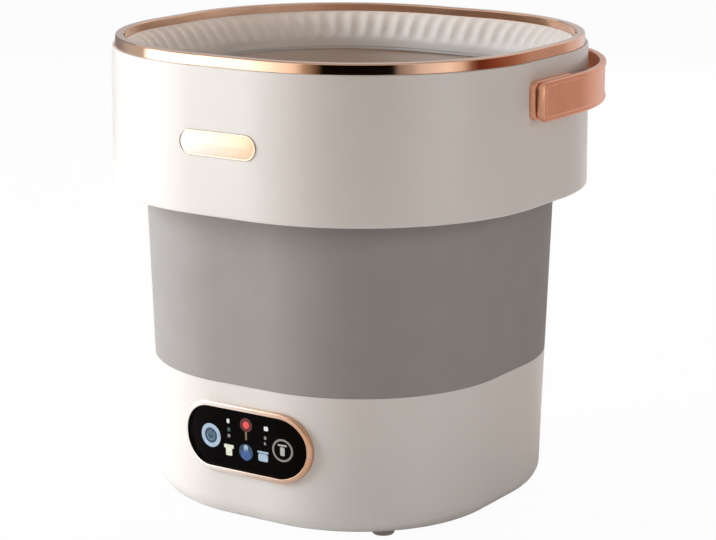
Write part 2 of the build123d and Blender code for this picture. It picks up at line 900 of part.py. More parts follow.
def make_collar_carrier():
    """Hidden ring behind the mouth: it rests in the shell's rebate and holds the soft wall's head."""
    front = mouth_radius - mouth_wall - carrier_gap
    back = front - carrier_wall
    top = liner_flange_bottom
    flange_outer = shell_top_half - shell_rebate - seat_clearance
    front_turn = arc_angle(front, top)
    back_turn = arc_angle(back, rebate_level)
    front_end = arc_point(front, front_turn)
    back_end = arc_point(back, back_turn)
    foot_outer = head_half() + clamp_margin
    edge = [
        ThreePointArc(arc_point(front, 0), arc_point(front, front_turn / 2), front_end),
        Polyline(front_end, (flange_outer, top), (flange_outer, rebate_level), back_end),
        ThreePointArc(back_end, arc_point(back, back_turn / 2), arc_point(back, 0)),
        Polyline(
            arc_point(back, 0), (mouth_centre - back, mouth_bottom), (foot_outer, mouth_bottom),
            (foot_outer, carrier_bottom), (mouth_half + carrier_gap, carrier_bottom),
            (mouth_half + carrier_gap, mouth_bottom), (mouth_centre - front, mouth_bottom),
            arc_point(front, 0),
        ),
    ]
    return ring_of(make_face(edge))


def mouth_point(along, half):
    """Point at a distance round the mouth from the middle of the +X side, at a half width."""
    quarter = 2 * flat_half + corner_length()
    turns, along = divmod(along, quarter)
    angle = min(max(along - flat_half, 0) / corner_length(), 1) * pi / 2
    x = flat_half + (half - flat_half) * cos(angle) - max(along - flat_half - corner_length(), 0)
    y = min(along, flat_half) + (half - flat_half) * sin(angle)
    for turn in range(int(turns)):
        x, y = -y, x
    return x, y


def corner_length():
    """Length of a corner's arc along the middle of the flutes."""
    return pi / 2 * (mouth_half + flute_half - flat_half)


def fluted_section(half, level, depth):
    """Outline of the mouth's opening at a level, with its grooves cut to a depth."""
    pitch = (2 * flat_half + corner_length()) / flutes_per_quarter
    points = []
    for number in range(4 * flutes_per_quarter):
        for share, cut in ((0.15, 0), (0.5, depth), (0.85, 0)):
            x, y = mouth_point((number + share) * pitch, half + cut)
            points.append((x, y, level))
    return make_face(Polyline(*points, close=True))


def make_mouth_core():
    """The space in the mouth: a ruled loft whose grooves are deepest half way up the flare."""
    sections = [fluted_section(mouth_half, mouth_bottom - mouth_wall, 0)]
    for step in range(mouth_steps + 1):
        half, level = arc_point(mouth_radius, mouth_sweep * step / mouth_steps)
        sections.append(fluted_section(half, level, flute_depth * sin(pi * step / mouth_steps)))
    sections.append(fluted_section(half, mouth_top + mouth_wall, 0))
    return loft(sections, ruled=True)


def make_fluted_collar():
    """Bell mouth of the tub: a flared wall with a plain lip and grooves that fade at both ends."""
    back = mouth_radius - mouth_wall
    back_turn = arc_angle(back, liner_flange_bottom)
    back_end = arc_point(back, back_turn)
    flange_outer = shell_top_half - shell_rebate - seat_clearance
    inside = mouth_half - mouth_wall
    edge = [
        Polyline(
            (mouth_centre - back, mouth_bottom), (inside, mouth_bottom), (inside, mouth_top),
            (rise_half, mouth_top), (rise_half, shell_top), (flange_outer, shell_top),
            (flange_outer, liner_flange_bottom), back_end,
        ),
        ThreePointArc(back_end, arc_point(back, back_turn / 2), arc_point(back, 0)),
        Line(arc_point(back, 0), (mouth_centre - back, mouth_bottom)),
    ]
    return ring_of(make_face(edge)) - make_mouth_core()


def make_rim_ring():
    """Metal rim: an upright band set in from the shell's wall, with a rolled outer edge."""
    roll_half = rim_shoulder_half - rim_roll
    roll_level = rim_top - rim_roll
    middle = (roll_half + rim_roll * cos(pi / 4), roll_level + rim_roll * sin(pi / 4))
    edge = [
        Polyline(
            (rim_inner_half, shell_top), (rim_foot_half, shell_top), (rim_shoulder_half, roll_level),
        ),
        ThreePointArc((rim_shoulder_half, roll_level), middle, (roll_half, rim_top)),
        Polyline(
            (roll_half, rim_top), (rim_inner_half + rim_edge, rim_top),
            (rim_inner_half, rim_top - rim_edge), (rim_inner_half, shell_top),
        ),
    ]
    return ring_of(make_face(edge))


def make_badge_plate():
    """Bare plate on the front of the upper shell."""
    prism = slot_prism(badge_length, badge_height, badge_level, shell_top_half - shell_wall, bail_half)
    low = badge_level - badge_height
    high = badge_level + badge_height
    return prism & wall_layer(shell_half, low, high, 0, badge_thickness)


# Bail handle: pieces made for the +X side, and mirrored for the other
def both_sides(piece):
    """A piece and its mirror image across the bail's middle."""
    return [piece, mirror(piece, Plane.YZ)]


def bar(outline, near, far):
    """Outline in (y, z) about the pivot, made a bar along +X between two distances."""
    return Pos(near, 0, bail_level) * extrude(Plane.YZ * outline, far - near)


def wedge(middle, half_angle, radius):
    """Sector outline about the pivot, in (y, z), with its middle at an angle from +Y."""
    first = radians(middle - half_angle)
    last = radians(middle + half_angle)
    centre = radians(middle)
    far = radius / cos(radians(half_angle) / 2)
    points = [
        (0, 0),
        (far * cos(first), far * sin(first)),
        (far * cos(centre), far * sin(centre)),
        (far * cos(last), far * sin(last)),
    ]
    return make_face(Polyline(*points, close=True)) & Circle(radius)


def make_pivot_pads():
    """Pads on the shell that carry the pivots, each with a pocket for the stop lug."""
    outline = RectangleRounded(pad_length, bail_width - 2 * pad_margin, pad_corner)
    root = shell_half(bail_level) - shell_wall
    pad = bar(outline - Circle(pin_radius + running_clearance), root, pad_face)
    low = bail_level - bail_width
    high = bail_level + bail_width
    pad = pad - wall_layer(shell_half, low, high, -2 * shell_wall, 0)
    pocket_radius = lug_radius + moving_clearance
    stop_half = 90 - lug_half_angle - lug_play_angle
    pocket = Circle(pocket_radius) - wedge(270, stop_half, pocket_radius)
    pad = pad - bar(pocket, pad_face - lug_thickness - moving_clearance, pad_face)
    return both_sides(pad)


def make_pivot_pins():
    """Pins fixed in the bail's ends, each with a stop lug and a head inside the shell."""
    clip_face = shell_half(bail_level) - shell_wall - moving_clearance
    head_face = clip_face - clip_thickness
    pin = bar(Circle(pin_radius), head_face, bail_inner_half)
    pin = pin + bar(Circle(pin_head_radius), head_face - pin_head_thickness, head_face)
    pin = pin + bar(Circle(pin_stub_radius), bail_inner_half, bail_inner_half + pin_stub_length)
    lug = wedge(0, lug_half_angle, lug_radius)
    pin = pin + bar(lug, pad_face - lug_thickness, pad_face)
    return both_sides(pin)


def make_pivot_clips():
    """Washers between the pins' heads and the inside of the shell."""
    clip_face = shell_half(bail_level) - shell_wall - moving_clearance
    outline = Circle(clip_radius) - Circle(pin_radius + running_clearance)
    return both_sides(bar(outline, clip_face - clip_thickness, clip_face))


def bail_layer(inner, outer, width, reach):
    """Upright band between two half widths, cut off square a little in front of the pivots."""
    low = bail_level - width / 2
    band = plate(outer, low, low + width) - plate(inner, low, low + width)
    length = outer + bail_reach
    keep = Pos(0, outer - length / 2 + bail_reach - reach, bail_level)
    return band & keep * Box(2 * outer, length, width)


def make_bail_handle():
    """Broad band that follows the shell round the back, with a bordered outer face."""
    band = bail_layer(bail_inner_half, bail_half, bail_width, bail_reach)
    ends = band.edges().filter_by(Axis.X).sort_by(Axis.Y)[:4]
    band = fillet(ends, bail_corner)
    groove_width = bail_width - 2 * bail_border
    groove_reach = bail_reach - bail_border
    groove = bail_layer(bail_half - bail_groove, bail_half + 1, groove_width, groove_reach)
    band = band - groove
    hole = Circle(pin_stub_radius + running_clearance)
    return band - both_sides(bar(hole, bail_inner_half, bail_inner_half + pin_stub_length))


makers = {
    "base_shell": make_base_shell,
    "port_plate": make_port_plate,
    "bottom_cover": make_bottom_cover,
    "feet": make_feet,
    "cover_screws": make_cover_screws,
    "panel_bezel": make_panel_bezel,
    "panel_glass": make_panel_glass,
    "control_board": make_control_board,
    "wash_tub": make_wash_tub,
    "drain_strainer": make_drain_strainer,
    "drain_elbow": make_drain_elbow,
    "drain_plug": make_drain_plug,
    "power_inlet": make_power_inlet,
    "drive_gear": make_drive_gear,
    "motor_pinion": make_motor_pinion,
    "motor": make_motor,
    "motor_bracket": make_motor_bracket,
    "bracket_screws": make_bracket_screws,
    "lower_bush": make_lower_bush,
    "upper_bush": make_upper_bush,
    "shaft_seal": make_shaft_seal,
    "drive_shaft": make_drive_shaft,
    "pulsator": make_pulsator,
    "pulsator_screw": make_pulsator_screw,
    "pulsator_cap": make_pulsator_cap,
    "silicone_sleeve": make_silicone_sleeve,
    "lower_clamp": make_lower_clamp,
    "upper_clamp": make_upper_clamp,
    "upper_shell": make_upper_shell,
    "collar_carrier": make_collar_carrier,
    "fluted_collar": make_fluted_collar,
    "rim_ring": make_rim_ring,
    "badge_plate": make_badge_plate,
    "pivot_pads": make_pivot_pads,
    "pivot_pins": make_pivot_pins,
    "pivot_clips": make_pivot_clips,
    "bail_handle": make_bail_handle,
}

os.makedirs("parts", exist_ok=True)
for node, make in makers.items():
    made = make()
    pieces = made if isinstance(made, list) else [made]
    solids = [solid for piece in pieces for solid in piece.solids()]
    export_step(Compound(children=solids), f"parts/{node}.step")
    print(node, len(solids), "solids", round(sum(solid.volume for solid in solids)), "mm3")
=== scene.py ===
# %% [markdown]
# # A folding washing machine
# The machine is a bucket with a hard base, a soft wall that folds, and a hard upper shell with a
# fluted mouth, a metal rim and a carrying bail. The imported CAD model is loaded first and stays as
# it is: it gives every place and size. The pieces that the eye rests on are then made again as
# smooth surfaces, and everything gets a material.

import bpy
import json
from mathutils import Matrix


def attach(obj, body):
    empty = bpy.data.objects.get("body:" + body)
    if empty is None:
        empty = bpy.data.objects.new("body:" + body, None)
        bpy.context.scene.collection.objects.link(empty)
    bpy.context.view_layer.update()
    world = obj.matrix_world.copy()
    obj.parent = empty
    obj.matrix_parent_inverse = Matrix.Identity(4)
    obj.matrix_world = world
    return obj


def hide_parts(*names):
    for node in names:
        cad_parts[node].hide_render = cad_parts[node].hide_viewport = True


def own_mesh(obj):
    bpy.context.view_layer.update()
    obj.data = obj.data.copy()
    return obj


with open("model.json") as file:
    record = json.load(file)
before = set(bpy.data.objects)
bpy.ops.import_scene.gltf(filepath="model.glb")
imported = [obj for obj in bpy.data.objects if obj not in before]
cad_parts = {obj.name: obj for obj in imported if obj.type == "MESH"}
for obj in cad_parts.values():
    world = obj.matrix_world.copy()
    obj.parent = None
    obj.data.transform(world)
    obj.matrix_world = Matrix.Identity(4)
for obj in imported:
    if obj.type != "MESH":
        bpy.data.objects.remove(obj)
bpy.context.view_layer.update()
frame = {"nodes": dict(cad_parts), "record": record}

# %% [markdown]
# ## The plan that every level shares
# Seen from above, each level of the body is a square with short straight sides of 46 mm and very
# large round corners, all four about the same four centres. So one function can place a point on
# any level: it takes a half width and the share of the way round. It could be drawn as a curve and
# swept, but a formula keeps the grooves, walls and bands of all pieces lined up. The points are
# shared out as they fall on a level of middling width.

# %% A walk round the rounded square
from math import pi, radians

import bpy
import numpy as np
from mathutils import Matrix, Vector

MM = 0.001
FLAT, MIDDLE_HALF = 23 * MM, 143.5 * MM
BEND = pi / 2 * (MIDDLE_HALF - FLAT)
QUARTER = 2 * FLAT + BEND


def round_square(half, share):
    """x and y on a rounded square: half is the half width, share the part of the way round.

    A quarter is a straight of 23 mm, an arc about the corner centre (23, 23) mm and a straight
    of 23 mm. Later quarters are the first one turned by a right angle each.
    """
    along = np.mod(share, 1) * 4 * QUARTER
    turns = np.floor(along / QUARTER)
    along = along - turns * QUARTER
    angle = np.clip(along - FLAT, 0, BEND) / BEND * pi / 2
    x = FLAT + (half - FLAT) * np.cos(angle) - np.maximum(along - FLAT - BEND, 0)
    y = np.minimum(along, FLAT) + (half - FLAT) * np.sin(angle)
    spin = turns * pi / 2
    return x * np.cos(spin) - y * np.sin(spin), x * np.sin(spin) + y * np.cos(spin)


def even_shares(per_corner, per_straight=3):
    """Shares of the way round with few points on the straights and many on the corners."""
    first = np.linspace(0, FLAT, per_straight, endpoint=False)
    corner = np.linspace(FLAT, FLAT + BEND, per_corner, endpoint=False)
    last = np.linspace(FLAT + BEND, QUARTER, per_straight, endpoint=False)
    quarter = np.concatenate([first, corner, last])
    return np.concatenate([quarter + QUARTER * turn for turn in range(4)]) / (4 * QUARTER)


print("one quarter of the walk is", round(QUARTER / MM, 1), "mm long")

# %% [markdown]
# ## From a grid of points to a mesh
# Every surface below is a grid of points with rows and columns. A quad goes in each cell. The
# columns always close on themselves, and the rows close too or get a face over each end. Whether
# the faces point outwards is read from the sign of the volume that they enclose, so no shape has
# to be turned by hand.

# %% Make a mesh from a grid


def quads_of(rows, columns, close_rows, close_columns):
    """Corner numbers of the quads between neighbouring points of a grid."""
    index = np.arange(rows * columns).reshape(rows, columns)
    if close_rows:
        index = np.vstack([index, index[:1]])
    if close_columns:
        index = np.hstack([index, index[:, :1]])
    corners = [index[:-1, :-1], index[1:, :-1], index[1:, 1:], index[:-1, 1:]]
    return np.stack(corners, -1).reshape(-1, 4)


def volume_of(points, quads):
    """Volume inside quads: the sum of a . (b x c) / 6 over their two triangles each."""
    a, b, c, d = (points[quads[:, corner]] for corner in range(4))
    return float((a * (np.cross(b, c) + np.cross(c, d))).sum() / 6)


def surface(name, points, close_rows=True, sharp=40):
    """An object whose faces fill a grid of points, smooth except at edges over sharp degrees."""
    rows, columns = points.shape[:2]
    flat = points.reshape(-1, 3)
    quads = quads_of(rows, columns, close_rows, True)
    inwards = volume_of(flat, quads) < 0
    faces = (quads[:, ::-1] if inwards else quads).tolist()
    if not close_rows:
        ends = [list(range(columns)), list(range((rows - 1) * columns, rows * columns))]
        faces += [ends[0][::-1], ends[1]] if inwards else [ends[0], ends[1][::-1]]
    mesh = bpy.data.meshes.new(name)
    mesh.from_pydata(flat.tolist(), [], faces)
    mesh.validate()
    mesh.shade_smooth()
    mesh.set_sharp_from_angle(angle=radians(sharp))
    made = bpy.data.objects.new(name, mesh)
    bpy.context.scene.collection.objects.link(made)
    return made


print("a closed grid of 3 by 4 points has", len(quads_of(3, 4, True, True)), "quads")

# %% [markdown]
# ## Profiles with rounded corners
# A moulded wall has no perfectly sharp edge: even a small radius catches a line of light. A profile
# is written as its corners with a radius each, and this helper puts an arc in every corner. It adds
# one point just beyond both ends of each arc, so that the smooth shading of the arc doesn't bleed
# over the long flat face beside it.

# %% Round the corners of a profile


def rounded(corners, steps=5, spread=0.6):
    """Closed outline through (half width, level, radius) corners, each turned into an arc.

    An arc of radius r in a corner of angle a starts r / tan(a / 2) from the corner, about a centre
    r / sin(a / 2) away on the corner's bisector. Its points are a mix of its two ends, seen from
    the centre, in the proportions of two sines, which keeps them on the circle.
    """
    corners = np.array(corners, float) * MM
    outline = []
    for number, (x, z, radius) in enumerate(corners):
        here = np.array([x, z])
        before = corners[number - 1, :2] - here
        after = corners[(number + 1) % len(corners), :2] - here
        if radius == 0:
            outline.append(here[None])
            continue
        a, b = before / np.linalg.norm(before), after / np.linalg.norm(after)
        half = np.arccos(np.clip(a @ b, -1, 1)) / 2
        centre = here + (a + b) / np.linalg.norm(a + b) * radius / np.sin(half)
        start, end = here + a * radius / np.tan(half), here + b * radius / np.tan(half)
        turn = pi - 2 * half
        t = np.linspace(0, 1, steps)[:, None]
        of_start, of_end = np.sin((1 - t) * turn), np.sin(t * turn)
        arc = (of_start * (start - centre) + of_end * (end - centre)) / np.sin(turn)
        lead_in, lead_out = start + a * radius * spread, end + b * radius * spread
        outline += [lead_in[None], centre + arc, lead_out[None]]
    return np.concatenate(outline)


def hoop(name, profile, per_corner=72, sharp=40):
    """A closed profile of (half width, level) points carried round the rounded square."""
    share = even_shares(per_corner)[:, None]
    x, y = round_square(profile[None, :, 0], share)
    level = np.broadcast_to(profile[None, :, 1], x.shape)
    return surface(name, np.stack([x, y, level], -1), sharp=sharp)


print("a rounded triangle has", len(rounded([(0, 0, 1), (9, 0, 1), (0, 9, 1)])), "points")

# %% [markdown]
# ## A socket that does arithmetic
# Materials are trees of nodes. Written as Python expressions they stay readable, so this small
# class wraps the output of a node. Adding, subtracting or multiplying makes the Math node for it,
# and one method makes any other node from its type, its settings and the values of its sockets.

# %% The class for material maths


class Field:
    """An output in a material's node tree. Expressions on it add their Math nodes."""

    def __init__(self, tree, socket=None):
        self.tree = tree
        self.socket = socket

    def node(self, kind, output=0, stops=None, sockets=None, **settings):
        """A node of a kind, with its settings first and then the values or links of its sockets.

        The stops of a ramp are given as (place on the ramp, grey) each.
        """
        made = self.tree.nodes.new(kind)
        for name, value in settings.items():
            setattr(made, name, value)
        if stops:
            elements = made.color_ramp.elements
            while len(elements) < len(stops):
                elements.new(0.5)
            for element, (share, grey) in zip(elements, stops):
                element.position = share
                element.color = (grey, grey, grey, 1)
        for name, value in (sockets or {}).items():
            self.feed(made.inputs[name], value)
        return Field(self.tree, made.outputs[output])

    def feed(self, socket, value):
        """Links a field to a socket, or writes a plain value there."""
        if isinstance(value, Field):
            self.tree.links.new(value.socket, socket)
        else:
            socket.default_value = value

    def math(self, operation, first, second=0.0):
        """The result of a Math node: Blender's name for the operation and what goes into it."""
        return self.node("ShaderNodeMath", operation=operation, sockets={0: first, 1: second})

    def __add__(self, other):
        return self.math("ADD", self, other)

    def __radd__(self, other):
        return self.math("ADD", other, self)

    def __sub__(self, other):
        return self.math("SUBTRACT", self, other)

    def __rsub__(self, other):
        return self.math("SUBTRACT", other, self)

    def __mul__(self, other):
        return self.math("MULTIPLY", self, other)

    def __rmul__(self, other):
        return self.math("MULTIPLY", other, self)


def mixed(share, first, second):
    """Colour that goes from the first to the second as share goes from 0 to 1.

    A Mix node has sockets for every data type. Its share is number 0, its two colours 6 and 7.
    """
    sockets = {0: share, 6: first, 7: second}
    return share.node("ShaderNodeMix", output=2, data_type="RGBA", sockets=sockets)


def colour(red, green, blue):
    """Colour with its screen values 0 to 255 turned into the linear values that shaders use."""
    screen = np.array([red, green, blue]) / 255
    linear = np.where(screen <= 0.04045, screen / 12.92, ((screen + 0.055) / 1.055) ** 2.4)
    return (*linear.tolist(), 1.0)


def darker(tint, share):
    """The same colour with only a share of its light."""
    return tuple(c * share for c in tint[:3]) + (1.0,)


print("half of the screen's range is", round(colour(128, 128, 128)[0], 3), "of its light")

# %% [markdown]
# ## A start for every material
# Each finish begins with the same three things: a Principled shader whose constant sockets are set
# straight on it, the object's own coordinates in metres, and noise at a chosen grain size. Object
# coordinates stay with the piece when it moves, so a pattern never swims. A finish that is a twist
# on another one reads the base colour that is there and mixes it further.

# %% Start a material


def finish(name, **constants):
    """A new material: its shader with constant sockets set, and a field to write its maths with."""
    material = bpy.data.materials.new(name)
    material.use_nodes = True
    shader = shader_of(material)
    for socket, value in constants.items():
        shader.inputs[socket.replace("_", " ")].default_value = value
    return material, shader, Field(material.node_tree)


def shader_of(material):
    """The material's Principled shader."""
    return material.node_tree.nodes["Principled BSDF"]


def base_of(material):
    """The field that feeds the material's base colour."""
    link = shader_of(material).inputs["Base Color"].links[0]
    return Field(material.node_tree, link.from_socket)


def grain(start, size, detail=2.0, stretch=(1, 1, 1)):
    """Noise from 0 to 1 whose grains are about size millimetres, longer along small stretches."""
    here = start.node("ShaderNodeTexCoord", output="Object")
    scaled = here.node("ShaderNodeMapping", sockets={"Vector": here, "Scale": stretch})
    sockets = {"Vector": scaled, "Scale": 1 / (size * MM), "Detail": detail}
    return scaled.node("ShaderNodeTexNoise", sockets=sockets)


def relief(height, distance):
    """Normal bent by a height field, with the height of a full step in millimetres."""
    return height.node("ShaderNodeBump", sockets={"Height": height, "Distance": distance * MM})


def paint(shader, **fields):
    """Feeds the shader's sockets with fields."""
    for socket, field in fields.items():
        field.feed(shader.inputs[socket.replace("_", " ")], field)


# %% [markdown]
# ## Moulded plastics
# The casings are glossy ABS: a pale warm white with a clear, slightly wavy reflection. A large
# moulding waves by a few hundredths of a millimetre over centimetres, which a broad bump gives. The
# hidden plastics are the same recipe with a duller face.

# %% Plastics


def moulded(name, base, roughness, wave=0.02, coat=0.0, **constants):
    """Moulded plastic: a base colour with faint clouds, a fine bite and a broad waviness."""
    constants = {"Coat_Weight": coat, "Coat_Roughness": 0.08, "IOR": 1.5, **constants}
    material, shader, start = finish(name, **constants)
    clouds = grain(start, 60)
    fine = grain(start, 0.7, 4)
    paint(shader, Base_Color=mixed(clouds, darker(base, 0.94), base),
          Roughness=roughness + (fine - 0.5) * 0.06,
          Normal=relief(grain(start, 45, 0) + fine * 0.02, wave))
    return material


shell_white = moulded("casing_white", colour(226, 220, 214), 0.3, coat=0.25)
tub_white = moulded("tub_white", colour(228, 228, 226), 0.28, coat=0.2)
mouth_white = moulded("mouth_white", colour(224, 220, 214), 0.42)
pulsator_grey = moulded("pulsator_grey", colour(214, 216, 218), 0.25, coat=0.2)
cap_grey = moulded("cap_grey", colour(176, 178, 180), 0.4)
inner_plastic = moulded("inner_plastic", colour(200, 200, 198), 0.5)
drain_grey = moulded("drain_grey", colour(170, 170, 170), 0.45)
socket_black = moulded("socket_black", colour(28, 28, 28), 0.45)
gear_nylon = moulded("gear_nylon", colour(232, 228, 214), 0.5)
print(len(bpy.data.materials), "materials so far, with the plastics")

# %% [markdown]
# ## The soft wall's silicone and the rubbers
# Silicone is not glossy: its skin has a very fine grain from the mould and a slightly uneven
# colour, and it mirrors little. The wall is one moulding, and its colour is paler on the faces that
# look towards the axis than on those that look out, so the inside of the tub reads lighter. Two
# materials on two sets of faces would do it. A mask from the normal needs no second set and follows
# the mesh whatever its shape.

# %% Silicone and rubbers


def soft_skin(name, base, roughness, **constants):
    """Soft moulded skin: a mottled colour and a fine grain."""
    material, shader, start = finish(name, IOR=1.42, **constants)
    mottle = grain(start, 25, 3)
    fine = grain(start, 0.5, 3)
    paint(shader, Base_Color=mixed(mottle, darker(base, 0.9), base),
          Roughness=roughness + (fine - 0.5) * 0.1, Normal=relief(fine, 0.006))
    return material


def inner_face(start):
    """1 where the skin faces the axis and 0 where it faces out, from the object's own normal.

    The place without its height points away from the axis. Its dot product with the normal is
    below zero on the inside.
    """
    here = start.node("ShaderNodeTexCoord", output="Object")
    normal = start.node("ShaderNodeTexCoord", output="Normal")
    kind = "ShaderNodeVectorMath"
    level = here.node(kind, operation="MULTIPLY", sockets={0: here, 1: (1, 1, 0)})
    outward = level.node(kind, output=1, operation="DOT_PRODUCT", sockets={0: level, 1: normal})
    return outward.math("LESS_THAN", outward, 0.0)


def skin_paler_inside(name, outer, inner, roughness, **constants):
    """Soft skin that is one grey outside and a paler one on the faces that look towards the axis.
    """
    material = soft_skin(name, outer, roughness, **constants)
    base = base_of(material)
    paint(shader_of(material), Base_Color=mixed(inner_face(base), base, inner))
    return material


silicone_grey = skin_paler_inside("silicone_grey", outer=colour(160, 155, 151),
                              inner=colour(210, 196, 186), roughness=0.58, Specular_IOR_Level=0.15)
foot_rubber = soft_skin("foot_rubber", colour(180, 172, 167), 0.75)
seal_rubber = soft_skin("seal_rubber", colour(40, 40, 40), 0.6)
print(len(bpy.data.materials), "materials so far, with the soft ones")

# %% [markdown]
# ## Metals
# The rim is polished rose gold plating: nearly a mirror, with a warm pink tint. The bail is copper
# in satin, where fine lines along the band widen its reflection. The steel and brass inside follow
# the same recipe with duller faces.

# %% Metals


def plated(name, base, roughness, lines=0.0, stretch=(1, 1, 1)):
    """Plated metal: smudges that vary its polish and, where wanted, fine brushed lines."""
    material, shader, start = finish(name, Metallic=1.0)
    smudge = grain(start, 18, 4)
    brushed = grain(start, 0.8, 2, stretch)
    paint(shader, Base_Color=mixed(smudge, darker(base, 0.88), base),
          Roughness=roughness + (smudge - 0.5) * 0.08 + (brushed - 0.5) * lines,
          Normal=relief(brushed, 0.004 + 0.01 * lines))
    return material


rose_gold = plated("rose_gold", colour(240, 196, 168), 0.08)
bail_copper = plated("bail_copper", colour(246, 184, 152), 0.3, lines=0.12, stretch=(1, 1, 12))
steel = plated("bright_steel", colour(196, 197, 200), 0.25)
motor_steel = plated("zinc_steel", colour(176, 178, 182), 0.4, lines=0.2, stretch=(1, 1, 10))
bush_brass = plated("sintered_brass", colour(205, 170, 112), 0.4)
print(len(bpy.data.materials), "materials so far, with the metals")

# %% [markdown]
# ## Plating with painted light along its length
# The badge and the window's ring are pale champagne at their left end and rose at their right. On
# the real pieces much of this is reflection, and here it is a painted reflection: the colour itself
# goes along the object's x, so that the change stays in place when the piece is seen from another
# side.

# %% Plating with painted light


def plating_with_painted_light(name, pale, warm, start, end):
    """Plating with painted light: its colour goes along the object's x from pale at start mm to
    warm at end mm.
    """
    material = plated(name, warm, 0.2)
    base = base_of(material)
    here = base.node("ShaderNodeTexCoord", output="Object")
    x = here.node("ShaderNodeSeparateXYZ", output=0, sockets={0: here})
    sockets = {"Value": x, "From Min": start * MM, "From Max": end * MM}
    along = x.node("ShaderNodeMapRange", sockets=sockets)
    paint(shader_of(material), Base_Color=mixed(along, pale, base))
    return material


# Painted reflection: the badge and the window's ring are pale at their left end and warm at their
# right.
badge_gold = plating_with_painted_light("badge_gold", colour(190, 188, 180), colour(204, 174, 146), -30, 24)
trim_gold = plating_with_painted_light("trim_gold", colour(252, 248, 242), colour(232, 184, 152), -40, 48)
# Painted shade: the badge's ring is dark over its left end and turns pale beyond it.
badge_edge = plating_with_painted_light("badge_edge", colour(92, 96, 82), colour(226, 204, 182), -30.5, -25)
print(len(bpy.data.materials), "materials so far, with the champagne ones")

# %% [markdown]
# ## The panel's window and the board
# The window is smoked black plastic, dark enough that only the lit marks show. Its mirrored light
# is turned well down, because a strong reflection would grey it. Behind it the board is only seen
# from inside, in its green mask.

# %% Window and board
panel_black = moulded("window_black", colour(7, 4, 4), 0.16, wave=0.004, Specular_IOR_Level=0.03)
board_green = moulded("board_green", colour(40, 96, 64), 0.35, wave=0.004)
print(len(bpy.data.materials), "materials so far, with window and board")

# %% [markdown]
# ## Materials on the CAD nodes
# Every CAD node that stays in sight takes the finish of its slot in the record. The slots are the
# ones that the part was packed with. Each new piece goes through one helper, which gives it its
# body and its finish, and hides the CAD nodes that it stands for.

# %% Dress the CAD nodes
finishes = {
    "shell_white": shell_white, "silicone_grey": silicone_grey, "rose_gold": rose_gold,
    "bail_copper": bail_copper, "badge_gold": badge_gold, "collar_white": mouth_white,
    "tub_white": tub_white, "pulsator_grey": pulsator_grey, "cap_grey": cap_grey,
    "inner_plastic": inner_plastic, "panel_black": panel_black, "board_green": board_green,
    "foot_rubber": foot_rubber, "seal_rubber": seal_rubber, "steel": steel,
    "motor_steel": motor_steel, "bush_brass": bush_brass, "gear_nylon": gear_nylon,
    "socket_black": socket_black, "drain_grey": drain_grey,
}
slot_of = {part["node"]: part["material_slot"] for part in frame["record"]["subparts"]}
for node, made in frame["nodes"].items():
    made.data.materials.clear()
    made.data.materials.append(finishes[slot_of[node]])
print(len(slot_of), "nodes dressed in", len(finishes), "finishes")


def place(made, body, slot, material, *nodes):
    """A finished piece rides on its body, wears its finish and stands for its CAD nodes."""
    made.data.materials.append(material)
    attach(made, body)
    if nodes:
        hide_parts(*nodes)
    print(made.name, len(made.data.polygons), "faces")
    return made


# %% [markdown]
# ## The upper shell
# The shell is a thin wall that leans in a little towards the top, 1.3 mm over its height. Its lower
# edge has a small radius, and its top has a rebate that the mouth's flange rests in. A profile of
# six corners carried round the plan gives all of it.

# %% Upper shell
SHELL_BOTTOM, SHELL_TOP, RIM_TOP = 234.9, 337.4, 344.9
SHELL_HALF, SHELL_LEAN, REBATE = 165.0, 1.3, 334.4
casing = hoop("upper_casing", rounded([
    (SHELL_HALF, SHELL_BOTTOM, 1.2), (SHELL_HALF - SHELL_LEAN, SHELL_TOP, 0.7),
    (162.2, SHELL_TOP, 0.2), (162.2, REBATE, 0.2), (160.74, REBATE, 0.3),
    (162.0, SHELL_BOTTOM, 0.8),
]))
place(casing, "upper", "shell_white", shell_white, "upper_shell")

# %% [markdown]
# ## The metal rim
# The rim is a plated band that stands upright on the mouth's flange, 1.9 mm in from the shell. Its
# tall face is what the eye sees, so it mirrors whatever stands round the machine at eye level. The
# outer edge is rolled, and a small bevel ends the flat top on the inside.

# %% Rim
band = rounded([
    (161.8, SHELL_TOP, 0.15), (161.2, RIM_TOP, 1.5), (155.6, RIM_TOP, 0.4), (154.8, 344.1, 0.3),
    (154.8, SHELL_TOP, 0.2),
], steps=9, spread=0.4)
rim = hoop("rim_band", band, per_corner=96, sharp=60)
place(rim, "upper", "rose_gold", rose_gold, "rim_ring")

# %% [markdown]
# ## The fluted mouth
# Behind the rim the tub's mouth flares like a bell, with 76 grooves round it. Each groove fades in
# under the rim and fades out above a plain lip. On a real moulding this is one piece, so here it is
# one grid too: the profile runs down the flare, and the depth of a groove is a product of two
# waves, one round the mouth and one down the flare.

# %% Fluted mouth
GROOVES, PER_GROOVE, GROOVE_DEPTH = 76, 14, 1.9
FLARE_HALF, FLARE_LEVEL, FLARE_RADIUS, FLARE_WALL = 161.516, 315.975, 24, 2.2
FLARE_POINTS = 41


def on_bell(radius, degrees):
    """(half width, level) in mm on a circle about the flare's centre, turned up from its lip."""
    turn = np.radians(degrees)
    return np.stack([FLARE_HALF - radius * np.cos(turn), FLARE_LEVEL + radius * np.sin(turn)], -1)


